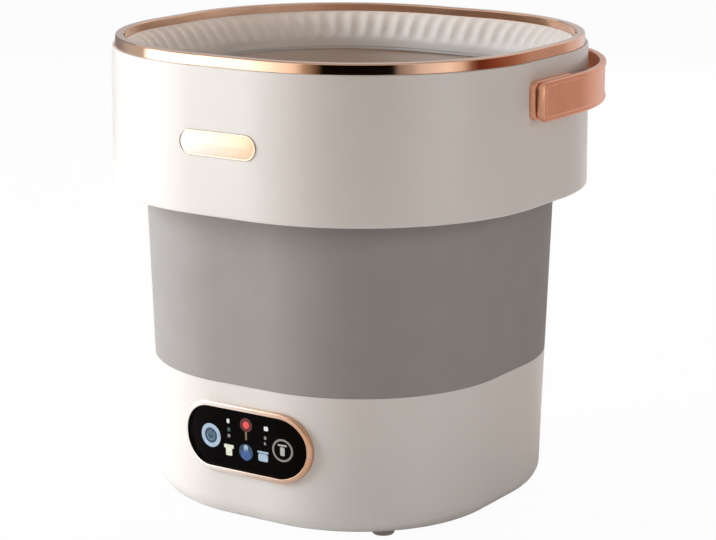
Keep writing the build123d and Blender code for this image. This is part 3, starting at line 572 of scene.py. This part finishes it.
def mouth_profile():
    """Closed section of the mouth in mm, and how deep its grooves are at each point, 0 to 1.

    The flare is an arc of 24 mm about (161.5, 316) from its lip to 72 degrees. The grooves rise in
    a smooth step at its top and fade over its lower third.
    """
    flare = on_bell(FLARE_RADIUS, np.linspace(72, 0, FLARE_POINTS))
    level = np.linspace(0, 1, FLARE_POINTS)
    depth = np.clip((level - 0.03) / 0.12, 0, 1) * np.clip((0.94 - level) / 0.36, 0, 1)
    depth = depth * depth * (3 - 2 * depth)
    lip = np.array([
        (137.516, 313.6), (137.6, 313.2), (138.0, 312.975), (139.2, 312.975), (139.6, 313.3),
    ])
    back = on_bell(FLARE_RADIUS - FLARE_WALL, np.linspace(0, 66, 12))
    top = np.array([(162.1, 336.0), (162.1, 337.4), (154.6, 337.4), (154.6, 338.6), (154.4, 338.8)])
    points = np.concatenate([flare, lip, back, top])
    return points * MM, np.concatenate([depth, np.zeros(len(points) - FLARE_POINTS)])


def fluted_mouth():
    """The profile carried round, pushed outwards by 1.9 mm in the grooves.

    The wave round the mouth is wide and round in the grooves and narrow on the ribs.
    """
    profile, depth = mouth_profile()
    share = (np.arange(GROOVES * PER_GROOVE) + 0.5) / (GROOVES * PER_GROOVE)
    wave = 0.5 - 0.5 * np.cos(2 * pi * share[:, None] * GROOVES)
    half = profile[None, :, 0] + GROOVE_DEPTH * MM * wave ** 0.8 * depth[None, :]
    x, y = round_square(half, share[:, None])
    level = np.broadcast_to(profile[None, :, 1], x.shape)
    return surface("fluted_mouth", np.stack([x, y, level], -1), sharp=60)


mouth = fluted_mouth()
place(mouth, "upper", "collar_white", mouth_white, "fluted_collar")

# %% [markdown]
# ## The soft wall
# The wall between base and shell is a silicone moulding with a foot clamped on the base and a head
# held under the mouth. When the machine is pushed flat it folds inside the shell. Folding is more
# than a rigid joint can show, and here the piece rides on the base as it is.

# %% Soft wall
BASE_TOP, FOOT_TOP, HEAD_BOTTOM, WALL_TOP = 108.6, 111.6, 307.68, 310.68
wall = hoop("soft_wall", rounded([
    (122.5, BASE_TOP, 0.4), (136.5, BASE_TOP, 0.5), (143.29, HEAD_BOTTOM, 0.4),
    (149.79, HEAD_BOTTOM, 0.4), (149.79, WALL_TOP, 0.4), (140.9, WALL_TOP, 0.4),
    (134.1, FOOT_TOP, 0.6), (122.5, FOOT_TOP, 0.4),
]))
place(wall, "base", "silicone_grey", silicone_grey, "silicone_sleeve")

# %% [markdown]
# ## The bail
# The bail is a broad band that runs round the back from pivot to pivot, 8 mm off the shell. Its
# outer face is sunk between two borders. The section is carried along the same walk as the walls,
# from a little in front of one pivot to the other, and near its ends it shrinks in height along a
# circle, which rounds the four corners.

# %% Bail
BAIL_IN, BAIL_OUT, BAIL_LEVEL, BAIL_REACH = 172.035, 177.035, 311.0, 29.0
BAIL_THICK, BAIL_HALF_HEIGHT, BAIL_CORNER, BAIL_BORDER = 5, 14, 5, 3.6
BAIL_BEND = pi / 2 * (BAIL_OUT * MM - FLAT)


def bail_walk(count):
    """Distances along the bail's path, in metres, from its right end round the back to its left.

    The path's first part is the straight in front of the right pivot and beyond it, so it starts
    at minus the reach, and points crowd towards both ends.
    """
    total = 4 * FLAT + 2 * BAIL_BEND + 2 * (BAIL_REACH * MM)
    t = np.linspace(0, 1, count)
    crowded = 0.5 - 0.5 * np.cos(pi * t)
    return total, total * (0.25 * t + 0.75 * crowded)


def bail_point(distance, half, total):
    """x and y at a distance along the bail, for a half width: straights and two corner arcs."""
    side = np.where(distance > total / 2, -1.0, 1.0)
    along = np.minimum(distance, total - distance) - BAIL_REACH * MM
    angle = np.clip(along - FLAT, 0, BAIL_BEND) / BAIL_BEND * pi / 2
    x = FLAT + (half - FLAT) * np.cos(angle) - np.maximum(along - FLAT - BAIL_BEND, 0)
    y = np.minimum(along, FLAT) + (half - FLAT) * np.sin(angle)
    return side * x, y


def bail_band():
    """The band: each row is a section that is lower near the ends, by a circle of 5 mm.

    The section goes round the band's inner face, its lower border, the sunk face and the upper
    border, with small arcs at every edge. The face rises to its border 4 mm before both ends.
    """
    total, distance = bail_walk(280)
    section = rounded([
        (0, -14, 0.9), (5, -14, 1.3), (5, -11, 0.4), (4.2, -10.4, 0.3), (4.2, 10.4, 0.3),
        (5, 11, 0.4), (5, 14, 1.3), (0, 14, 0.9),
    ], steps=5, spread=0.3)
    to_end = np.minimum(distance, total - distance)[:, None]
    corner = BAIL_CORNER * MM
    short = np.clip(corner - to_end, 0, corner)
    drop = corner - np.sqrt(corner ** 2 - short ** 2)
    high = BAIL_HALF_HEIGHT * MM
    height = section[None, :, 1] * (high - drop) / high
    sunk = np.clip((to_end - BAIL_BORDER * MM) / (0.8 * MM), 0, 1)
    face = (np.abs(section[:, 1]) < 11.4 * MM) & (section[:, 0] > 4 * MM)
    raised = np.where(face, BAIL_THICK * MM, section[:, 0])[None, :]
    proud = raised + (section[None, :, 0] - raised) * sunk
    x, y = bail_point(distance[:, None], BAIL_IN * MM + proud, total)
    points = np.stack([x, y, BAIL_LEVEL * MM + height], -1)
    return surface("bail_band", points, close_rows=False, sharp=50)


bail = bail_band()
place(bail, "bail", "bail_copper", bail_copper, "bail_handle")

# %% [markdown]
# ## The pads under the bail's ends
# Each end of the bail turns on a pad that stands on the shell. The pad has rounded corners, and a
# rebate round its outer face leaves a dark line between pad and bail. It is drawn as a rounded
# rectangle that steps in as it goes outwards.

# %% Pads
PAD_HALF_LENGTH, PAD_HALF_HEIGHT, PAD_CORNER = 28.0, 13.5, 6.0


def pivot_pad(side):
    """A pad on one side: its outline in (y, z) by distance out from the middle of the machine.

    Each step is (distance out, how far the outline has drawn in). The outline is a quarter circle
    in each corner, moved out by the straights between them.
    """
    steps = np.array([
        (160.5, 0), (168.0, 0), (168.5, 0.15), (168.85, 0.5), (169.0, 1.0), (169.0, 2.4),
        (169.1, 2.5), (171.6, 2.5), (171.7, 2.6), (171.7, 12.0),
    ]) * MM
    turn = np.radians(np.arange(0, 360, 5) + 2.5)[:, None]
    drawn_in = steps[None, :, 1]
    corner = np.maximum(PAD_CORNER * MM - drawn_in, 0.4 * MM)
    straight_y = PAD_HALF_LENGTH * MM - drawn_in - corner
    straight_z = PAD_HALF_HEIGHT * MM - drawn_in - corner
    y = np.sign(np.cos(turn)) * np.maximum(straight_y, 0) + corner * np.cos(turn)
    z = np.sign(np.sin(turn)) * np.maximum(straight_z, 0) + corner * np.sin(turn)
    x = side * np.broadcast_to(steps[None, :, 0], y.shape)
    name = "pivot_pad_left" if side < 0 else "pivot_pad_right"
    return surface(name, np.stack([x, y, z + BAIL_LEVEL * MM], -1), sharp=50)


place(pivot_pad(1), "upper", "bail_copper", bail_copper, "pivot_pads")
place(pivot_pad(-1), "upper", "bail_copper", bail_copper)

# %% [markdown]
# ## Pieces that lie on a curved wall
# The badge, the panel's window, its ring and the marks on it all follow the curve of the front
# wall. They are drawn flat, in (x, z), and one formula gives how far forward the wall is at each
# point. Projecting a flat drawing like this keeps its outline true from the front.

# %% Depth of the front wall
BASE_FOOT, BASE_FOOT_HALF, BASE_LEAN = 6.8, 133.4, 3.1


def base_half(level):
    """Half width of the base at a level: 133.4 mm at 6.8 mm, 3.1 mm more at its top."""
    share = (level / MM - BASE_FOOT) / (BASE_TOP - BASE_FOOT)
    return (BASE_FOOT_HALF + BASE_LEAN * share) * MM


def shell_half(level):
    """Half width of the upper shell at a level: 165 mm at its foot, 1.3 mm less at its top."""
    share = (level / MM - SHELL_BOTTOM) / (SHELL_TOP - SHELL_BOTTOM)
    return (SHELL_HALF - SHELL_LEAN * share) * MM


def on_front(x, z, half_at, proud):
    """Points of (x, z) carried to the front wall and proud of it: straight within 23 mm of the
    middle, and on the corner's circle beyond."""
    half = half_at(z) + proud
    beyond = np.maximum(np.abs(x) - FLAT, 0)
    y = FLAT + np.sqrt((half - FLAT) ** 2 - beyond ** 2)
    return np.stack([x, -y, z], -1)


print("the base is", round(2 * base_half(68.2 * MM) / MM, 1), "mm wide at the window")

# %% [markdown]
# ## Plates with half-round ends
# The badge and the window are the same kind of piece: a bar with half-round ends, bent to the
# wall. A filled curve could be projected on the wall, with its edge bevelled after. As a grid of
# upright slices the outline, the soft edge and the crown are one formula each.

# %% A round-ended plate on the front


def plate_on_front(name, length, height, level, half_at, proud, sunk, edge, crown=0.0, middle=0.0):
    """A plate with half-round ends that follows the wall: columns go round each upright slice.

    A slice's half height is the half height of the outline there. The face drops along a quarter
    circle of radius edge near the outline, and may rise to a crown in the middle. The slices stop
    just short of both tips, where they would have no height.
    """
    length, height, level, proud, sunk, edge, crown = (
        value * MM for value in (length, height, level, proud, sunk, edge, crown))
    radius = height / 2
    t = np.linspace(0.004, 0.996, 110)
    x = (length / 2 * -np.cos(pi * t))[:, None]
    over = np.maximum(np.abs(x) - (length / 2 - radius), 0)
    tall = np.sqrt(radius ** 2 - over ** 2)
    across = np.sin(pi / 2 * np.linspace(-1, 1, 41))[None, :]
    z = across * tall
    inside = radius - np.sqrt(over ** 2 + z ** 2)
    short = np.clip(edge - inside, 0, edge)
    drop = edge - np.sqrt(edge ** 2 - short ** 2)
    rise = crown * np.clip(inside / radius, 0, 1) ** 0.5
    x = np.broadcast_to(x + middle * MM, z.shape)
    front = on_front(x, z + level, half_at, proud - drop + rise)
    back = on_front(x, z + level, half_at, -sunk)[:, ::-1]
    return surface(name, np.concatenate([front, back], 1), close_rows=False, sharp=50)


# %% [markdown]
# ## Rings round the plates
# Both plates sit in a plated ring. A section is carried round the outline, as it is for the walls,
# because a ring that is made this way is equally wide all the way round.

# %% A hoop of trim on the front


def trim_on_front(name, length, height, level, half_at, section, middle=0.0):
    """A closed section carried round a round-ended outline on the wall.

    The section's points are (how far inside the outline, how proud of the wall). The outline is two
    half circles joined by straights, and moves inwards by making the circles smaller.
    """
    length, height, level = length * MM, height * MM, level * MM
    per_end = 49
    right_end = np.linspace(-pi / 2, pi / 2, per_end)
    left_end = np.linspace(pi / 2, 3 * pi / 2, per_end)
    turn = np.concatenate([right_end, left_end])[:, None]
    centre = np.repeat([1, -1], per_end)[:, None] * (length - height) / 2
    radius = height / 2 - section[None, :, 0]
    x, z = centre + radius * np.cos(turn), radius * np.sin(turn)
    proud = np.broadcast_to(section[None, :, 1], x.shape)
    return surface(name, on_front(x + middle * MM, z + level, half_at, proud), sharp=50)


# %% [markdown]
# ## The badge and the panel
# The badge is a bare plate with a softly rounded edge and a slightly crowned face. Its reflection
# fades from end to end a little from the crown, and mostly as a painted reflection in its colour.
# The panel's window is a black plate under a plated ring that stands 2.9 mm proud. Its flat top
# mirrors the bright side of the room and its outer wall the dark one, so the ring is a bright line
# and a brown one, and its colour carries a painted reflection, pale at its left end.

# %% Badge, window and ring
BADGE_LENGTH, BADGE_HEIGHT, BADGE_LEVEL = 64, 18, 285.0
badge = plate_on_front("badge", BADGE_LENGTH, BADGE_HEIGHT, BADGE_LEVEL, shell_half,
                       proud=0.5, sunk=0.0, edge=0.4, crown=0.3)
place(badge, "upper", "badge_gold", badge_gold, "badge_plate")
badge_bead = rounded([
    (0.15, -0.2, 0), (0.15, 0.75, 0.35), (1.5, 0.75, 0.35), (1.5, 0.1, 0),
], steps=6)
badge_trim = trim_on_front("badge_trim", BADGE_LENGTH, BADGE_HEIGHT, BADGE_LEVEL, shell_half,
                           badge_bead)
place(badge_trim, "upper", "badge_gold", badge_edge)

PANEL_LEVEL, PANEL_MIDDLE = 68.2, -0.1
window = plate_on_front("panel_window", 105.6, 45.8, PANEL_LEVEL, base_half,
                        proud=0.3, sunk=2.0, edge=0.4, middle=PANEL_MIDDLE)
place(window, "base", "panel_black", panel_black, "panel_glass")
bead = rounded([
    (0, -0.02, 0), (0.25, 2.9, 0.9), (3.8, 2.9, 0.45), (3.8, 0.34, 0.1), (2.4, 0.34, 0.05),
    (2.4, -0.02, 0),
], steps=6)
trim = trim_on_front("panel_trim", 111.0, 52.0, PANEL_LEVEL, base_half, bead, middle=PANEL_MIDDLE)
place(trim, "base", "rose_gold", trim_gold, "panel_bezel")

# %% [markdown]
# ## Lights behind the window
# The marks on the panel are printed on the back of the window or shine through it. Each wears a
# material that glows a little, as a lit mark does, over a dull face of its own colour. The dim ones
# are the halos that a bright mark throws on the black plastic round it.

# %% Lit materials


def lit(name, tint, strength):
    """A mark that glows: its own colour as light over a dull face of the same colour."""
    material, shader, start = finish(name, Roughness=0.5, Emission_Strength=strength)
    soft = grain(start, 1.6)
    dim, dull = darker(tint, 0.6), darker(tint, 0.25)
    paint(shader, Base_Color=mixed(soft, dull, dim), Emission_Color=mixed(soft, dim, tint))
    return material


ice_light = lit("light_ice", colour(172, 194, 214), 0.62)
grey_light = lit("light_grey", colour(148, 146, 142), 0.5)
white_light = lit("light_white", colour(224, 228, 230), 0.7)
red_light = lit("light_red", colour(214, 78, 78), 0.9)
cream_light = lit("light_cream", colour(218, 222, 202), 0.8)
blue_light = lit("light_blue", colour(58, 92, 150), 0.65)
teal_light = lit("light_teal", colour(96, 128, 140), 0.55)
pale_light = lit("light_pale", colour(186, 186, 180), 0.6)
green_light = lit("light_green", colour(66, 92, 88), 0.5)
amber_light = lit("light_amber", colour(126, 116, 84), 0.5)
blue_glow = lit("glow_blue", colour(44, 68, 96), 0.6)
red_glow = lit("glow_red", colour(86, 16, 18), 0.7)
print(len(bpy.data.materials), "materials in all")

# %% [markdown]
# ## Two shapes for every mark
# The signs are a few millimetres long, so two plain shapes make them all: a ring, which may be an
# arc or nearly a full disc, and a bar with round corners. A printed texture would do as well, but
# thin solids stay crisp from near by. They lie just over the window's face, and a halo lies a
# little lower than the mark that it surrounds.

# %% Marks drawn on the window
MARK_BACK, MARK_THICK = 0.32 * MM, 0.08 * MM


def mark(name, x, z, proud, material, close_rows=True):
    """A mark from its flat drawing, in metres, and how proud its points are of the wall."""
    points = on_front(x, z, base_half, np.broadcast_to(proud, x.shape))
    made = surface(name, points, close_rows=close_rows, sharp=30)
    return place(made, "base", "panel_black", material)


def ring_mark(name, x, z, outer, inner, material, start=0.0, sweep=360.0, under=0.0):
    """A ring, or an arc of one: angle by radius, lowered by what is given as under."""
    whole = sweep >= 360
    turn = np.radians(start + np.linspace(0, sweep, 49)[:48 if whole else 49])[:, None]
    radius = np.array([inner, outer, outer, inner])[None, :] * MM
    proud = np.array([1.0, 1.0, 0.0, 0.0])[None, :] * MARK_THICK + MARK_BACK - under * MM
    px, pz = x * MM + radius * np.cos(turn), z * MM + radius * np.sin(turn)
    return mark(name, px, pz, proud, material, close_rows=whole)


def bar_mark(name, x, z, width, height, material, corner=0.4):
    """A rectangle with round corners: an outline by two radii, closed in the middle."""
    corner = min(corner, width / 2 - 0.01, height / 2 - 0.01)
    turn = np.radians(np.linspace(0, 360, 33)[:32])[:, None]
    sx, sz = np.sign(np.cos(turn)), np.sign(np.sin(turn))
    edge_x = (x + sx * (width / 2 - corner) + corner * np.cos(turn)) * MM
    edge_z = (z + sz * (height / 2 - corner) + corner * np.sin(turn)) * MM
    shrink = np.array([0.001, 1.0, 1.0, 0.001])[None, :]
    px, pz = x * MM + (edge_x - x * MM) * shrink, z * MM + (edge_z - z * MM) * shrink
    proud = np.array([0.0, 0.0, 1.0, 1.0])[None, :] * MARK_THICK + MARK_BACK
    return mark(name, px, pz, proud, material)


# %% [markdown]
# ## The two touch keys
# The left key is lit: a pale ring with a faint glow in it, round a sign of an open arc and a bar.
# The right one is a thinner grey ring round a small bucket with its lid.

# %% Touch keys
KEY_LEFT, KEY_RIGHT, HALO_UNDER, POINT = -30.4, 31.7, 0.03, 0.02
ring_mark("key_left_glow", KEY_LEFT, 67.6, 6.3, POINT, blue_glow, under=HALO_UNDER)
ring_mark("key_left_ring", KEY_LEFT, 67.6, 8.8, 5.7, ice_light)
ring_mark("key_left_arc", KEY_LEFT, 67.4, 3.7, 2.5, teal_light, start=125, sweep=290)
bar_mark("key_left_bar", KEY_LEFT, 69.8, 1.2, 4.2, teal_light)
ring_mark("key_right_ring", KEY_RIGHT, 66.8, 8.4, 6.9, grey_light)
bar_mark("key_right_body", KEY_RIGHT, 66.0, 3.6, 6.4, pale_light, corner=1.0)
bar_mark("key_right_lid", KEY_RIGHT, 70.5, 7.2, 1.3, pale_light)

# %% [markdown]
# ## The columns of lights
# Between the keys stand three columns of small lights. The top ones are bright, the middle one of
# them red with a halo, and those below glow faintly.

# %% Columns of lights
bar_mark("spot_left", -14.6, 80.9, 2.4, 3.4, white_light, corner=1.0)
bar_mark("mark_left_upper", -14.1, 74.6, 2.4, 2.8, green_light)
bar_mark("mark_left_lower", -14.2, 70.0, 2.2, 2.4, grey_light)
ring_mark("halo_red", 1.0, 80.4, 5.2, POINT, red_glow, under=HALO_UNDER)
ring_mark("spot_red", 1.0, 80.4, 2.7, POINT, red_light)
bar_mark("mark_middle", 0.8, 72.2, 1.6, 6.0, amber_light)
bar_mark("spot_right", 18.3, 80.6, 3.6, 3.2, white_light, corner=0.8)
bar_mark("mark_right_upper", 17.4, 73.6, 2.0, 2.4, grey_light)
bar_mark("mark_right_lower", 17.1, 69.4, 1.6, 2.2, grey_light)

# %% [markdown]
# ## The signs under the columns
# A shirt, a drop and a basin stand under the three columns. Each is a pair of bars, or a bar on a
# disc, that overlap.

# %% Signs under the columns
bar_mark("shirt_body", -14.5, 59.2, 5.4, 8.0, cream_light, corner=0.8)
bar_mark("shirt_sleeves", -14.5, 62.0, 8.4, 2.8, cream_light, corner=0.9)
ring_mark("drop_glow", 0.4, 60.2, 6.0, POINT, blue_glow, under=HALO_UNDER)
ring_mark("drop_round", 0.4, 58.2, 4.2, POINT, blue_light)
bar_mark("drop_tip", 0.4, 62.8, 3.4, 5.4, ice_light, corner=1.5)
bar_mark("basin_body", 15.2, 58.6, 8.4, 5.6, ice_light, corner=1.6)
bar_mark("basin_rim", 15.2, 62.6, 9.4, 1.5, ice_light, corner=0.6)

# %% [markdown]
# ## The world
# The machine stands in a white studio. The world shows white to the camera and in reflections, at a
# strength of 1, while its own light on the machine stays weak and a little warm, so that the lamps
# model the form. The kind of ray that asks decides which of them it gets.

# %% World


def studio_world(tint, strength):
    """White where the camera sees it. In reflections it is white low down and dim overhead.

    As a lamp it has its own tint and strength, which are lower.
    """
    world = bpy.data.worlds.new("studio")
    world.use_nodes = True
    tree = world.node_tree
    path = tree.nodes.new("ShaderNodeLightPath")
    kinds = ("Camera", "Glossy", "Transmission")
    seen, glossy, through = (Field(tree, path.outputs[f"Is {kind} Ray"]) for kind in kinds)
    direction = Field(tree).node("ShaderNodeTexCoord", output="Generated")
    height = direction.node("ShaderNodeSeparateXYZ", output=2, sockets={0: direction})
    stops = [(0.3, 1.0), (0.85, 0.5)]
    overhead = height.node("ShaderNodeValToRGB", sockets={0: height}, stops=stops)
    white = seen.math("MAXIMUM", seen, through)
    light = mixed(glossy, mixed(white, tint, (1, 1, 1, 1)), overhead)
    back = tree.nodes["Background"]
    light.feed(back.inputs["Color"], light)
    shown = white.math("MAXIMUM", white, glossy)
    shown.feed(back.inputs["Strength"], strength + shown * (1 - strength))
    bpy.context.scene.world = world


studio_world((1.0, 0.78, 0.6, 1), 0.12)
print("the world is", bpy.context.scene.world.name)

# %% [markdown]
# ## The floor
# The floor is one pale sheet, far larger than the view. To the camera most of it is plain white, so
# that it runs into the background, and the small rest is really lit, which keeps the faint shadow
# under the machine.

# %% Floor


def studio_floor(size, whitened):
    """A square floor, of which the camera sees the whitened share as plain white."""
    material, shader, start = finish("studio_floor", Roughness=0.9, Base_Color=(0.9, 0.9, 0.9, 1))
    tree = material.node_tree
    path = tree.nodes.new("ShaderNodeLightPath")
    seen = Field(tree, path.outputs["Is Camera Ray"])
    glow = start.node("ShaderNodeEmission", sockets={"Color": (1, 1, 1, 1), "Strength": 1.0})
    plain = Field(tree, shader.outputs[0])
    both = start.node("ShaderNodeMixShader", sockets={0: seen * whitened, 1: plain, 2: glow})
    both.feed(tree.nodes["Material Output"].inputs["Surface"], both)
    mesh = bpy.data.meshes.new("studio_ground")
    corners = [(-size, -size, 0), (size, -size, 0), (size, size, 0), (-size, size, 0)]
    mesh.from_pydata(corners, [], [(0, 1, 2, 3)])
    ground = bpy.data.objects.new("studio_ground", mesh)
    ground.data.materials.append(material)
    bpy.context.scene.collection.objects.link(ground)
    print(ground.name, "is", 2 * size, "m wide")


studio_floor(6.0, whitened=0.965)

# %% [markdown]
# ## The lamps
# A large soft lamp on the left gives the bright side and the slow fall of light round the body. A
# low one under it lifts the base. Weaker ones stand on the right and behind, and two small ones in
# front and above reach the shell's front and the mouth. Polished metal would mirror them as bright
# squares, so the lamps light only, and the surround below is what the metal shows.

# %% Lamps


def soft_lamp(name, where, aim, size, power, tint):
    """A rectangular soft lamp at a place, turned to its aim. It lights, and isn't mirrored."""
    data = bpy.data.lights.new(name, "AREA")
    data.shape = "RECTANGLE"
    data.size, data.size_y = size
    data.energy = power
    data.color = tint
    lamp = bpy.data.objects.new(name, data)
    lamp.visible_glossy = False
    lamp.location = where
    lamp.rotation_mode = "QUATERNION"
    lamp.rotation_quaternion = (Vector(aim) - Vector(where)).to_track_quat("-Z", "Y")
    bpy.context.scene.collection.objects.link(lamp)
    print(name, power, "W")


soft_lamp("key_left", (-1.75, -1.1, 0.95), (0, 0, 0.15), (1.0, 1.3), 48, (0.82, 0.92, 1.0))
soft_lamp("low_left", (-1.6, -1.2, 0.1), (0, 0, 0.1), (0.9, 0.16), 13, (1.0, 0.9, 0.83))
soft_lamp("fill_right", (1.9, -0.3, 0.7), (0, 0, 0.2), (0.5, 1.2), 9.2, (0.86, 0.94, 1.0))
soft_lamp("front_high", (0.95, -1.45, 1.15), (-0.05, 0.1, 0.28), (0.5, 0.5), 2.9, (1.0, 0.78, 0.64))
soft_lamp("behind", (-0.4, 2.0, 0.85), (0, 0, 0.2), (0.8, 1.2), 15, (1.0, 0.97, 0.94))
soft_lamp("over_mouth", (-0.35, 0.3, 1.8), (0.05, 0, 0.3), (0.35, 0.35), 10, (1.0, 0.78, 0.7))

# %% [markdown]
# ## A surround for the metal to reflect
# Polished metal shows its surroundings and little else, so a studio stands white and black boards
# round it. Here one bent sheet does the work of them all: it is seen in reflections only, and its
# tint changes with the direction. Read from the left it is dim, white, black behind the camera,
# white again, dark red-brown on the right, and pale towards the back.

# %% Reflected surround


def surround(name, stops, top, distance):
    """A bent upright sheet whose tint goes through (azimuth in degrees, red, green, blue) stops."""
    azimuths, *tints = np.array(stops, float).T
    steps = np.linspace(azimuths[0], azimuths[-1], 324)
    turn = np.radians(steps)
    ring = np.stack([distance * np.cos(turn), distance * np.sin(turn)], -1)
    points = np.concatenate([np.column_stack([ring, level + 0 * turn]) for level in (0, top)])
    blend = [np.interp(steps, azimuths, channel) for channel in tints]
    tint = np.column_stack(blend + [1 + 0 * turn])
    mesh = bpy.data.meshes.new(name)
    mesh.from_pydata(points.tolist(), [], quads_of(2, len(steps), False, False).tolist())
    painted = mesh.attributes.new("tint", "FLOAT_COLOR", "POINT")
    painted.data.foreach_set("color", np.tile(tint, (2, 1)).ravel())
    material = bpy.data.materials.new(name)
    material.use_nodes = True
    tree = material.node_tree
    tree.nodes.remove(shader_of(material))
    shade = Field(tree).node("ShaderNodeAttribute", attribute_name="tint")
    glow = shade.node("ShaderNodeEmission", sockets={"Color": shade})
    glow.feed(tree.nodes["Material Output"].inputs["Surface"], glow)
    made = bpy.data.objects.new(name, mesh)
    mesh.materials.append(material)
    bpy.context.scene.collection.objects.link(made)
    made.visible_camera = made.visible_diffuse = False
    made.visible_transmission = made.visible_shadow = False
    print(name, "goes through", len(stops), "tints")


surround("studio_surround", [
    (-213, 0.21, 0.22, 0.26), (-195, 0.33, 0.3, 0.32), (-180, 0.55, 0.58, 0.56),
    (-163, 0.6, 0.62, 0.6), (-157, 3.0, 3.0, 3.1), (-128, 3.0, 3.0, 3.1), (-112, 1.9, 1.9, 1.85),
    (-92, 1.1, 1.05, 0.95), (-87, 0.5, 0.42, 0.33), (-80, 0.16, 0.12, 0.08),
    (-77, 0.004, 0.003, 0.003), (-39, 0.004, 0.003, 0.003), (-36, 0.3, 0.28, 0.26),
    (-29, 0.5, 0.48, 0.46), (-24, 0.8, 0.78, 0.76), (-8, 1.1, 1.08, 1.05), (0, 0.85, 0.75, 0.68),
    (6, 0.3, 0.16, 0.12), (11, 0.15, 0.035, 0.02), (24, 0.25, 0.08, 0.05), (38, 0.37, 0.17, 0.12),
    (54, 0.5, 0.36, 0.3), (66, 0.74, 0.62, 0.6), (90, 0.85, 0.8, 0.82), (110, 0.6, 0.6, 0.62),
    (147, 0.5, 0.5, 0.52),
], top=1.1, distance=1.5)

# %% [markdown]
# ## The camera
# The camera stands where a fit to the photograph's edges puts it: 33 degrees round to the right and
# 13 degrees up. Its turn is written as three turns about its own axes, in the order in which a
# person would pan, tilt and level it.

# %% Camera
PAN, TILT, LEVEL = radians(33.189), radians(90 - 13.337), radians(0.067)
camera_data = bpy.data.cameras.new("view")
camera_data.sensor_width = 36
camera_data.lens = 117.62
camera_data.clip_start, camera_data.clip_end = 0.1, 50
camera = bpy.data.objects.new("view", camera_data)
aim = Matrix.Rotation(PAN, 4, "Z") @ Matrix.Rotation(TILT, 4, "X")
aim = aim @ Matrix.Rotation(LEVEL, 4, "Z")
camera.matrix_world = Matrix.Translation((0.9311, -1.4139, 0.5671)) @ aim
bpy.context.scene.collection.objects.link(camera)
bpy.context.scene.camera = camera
bpy.context.scene.view_settings.view_transform = "Standard"
print("the lens is", round(camera_data.lens, 2), "mm")

# %% [markdown]
# ## Last steps
# The soft wall's mesh is final here, and it gets a copy of its own.

# %% Give the wall its own mesh and close the script
import json

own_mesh(wall)
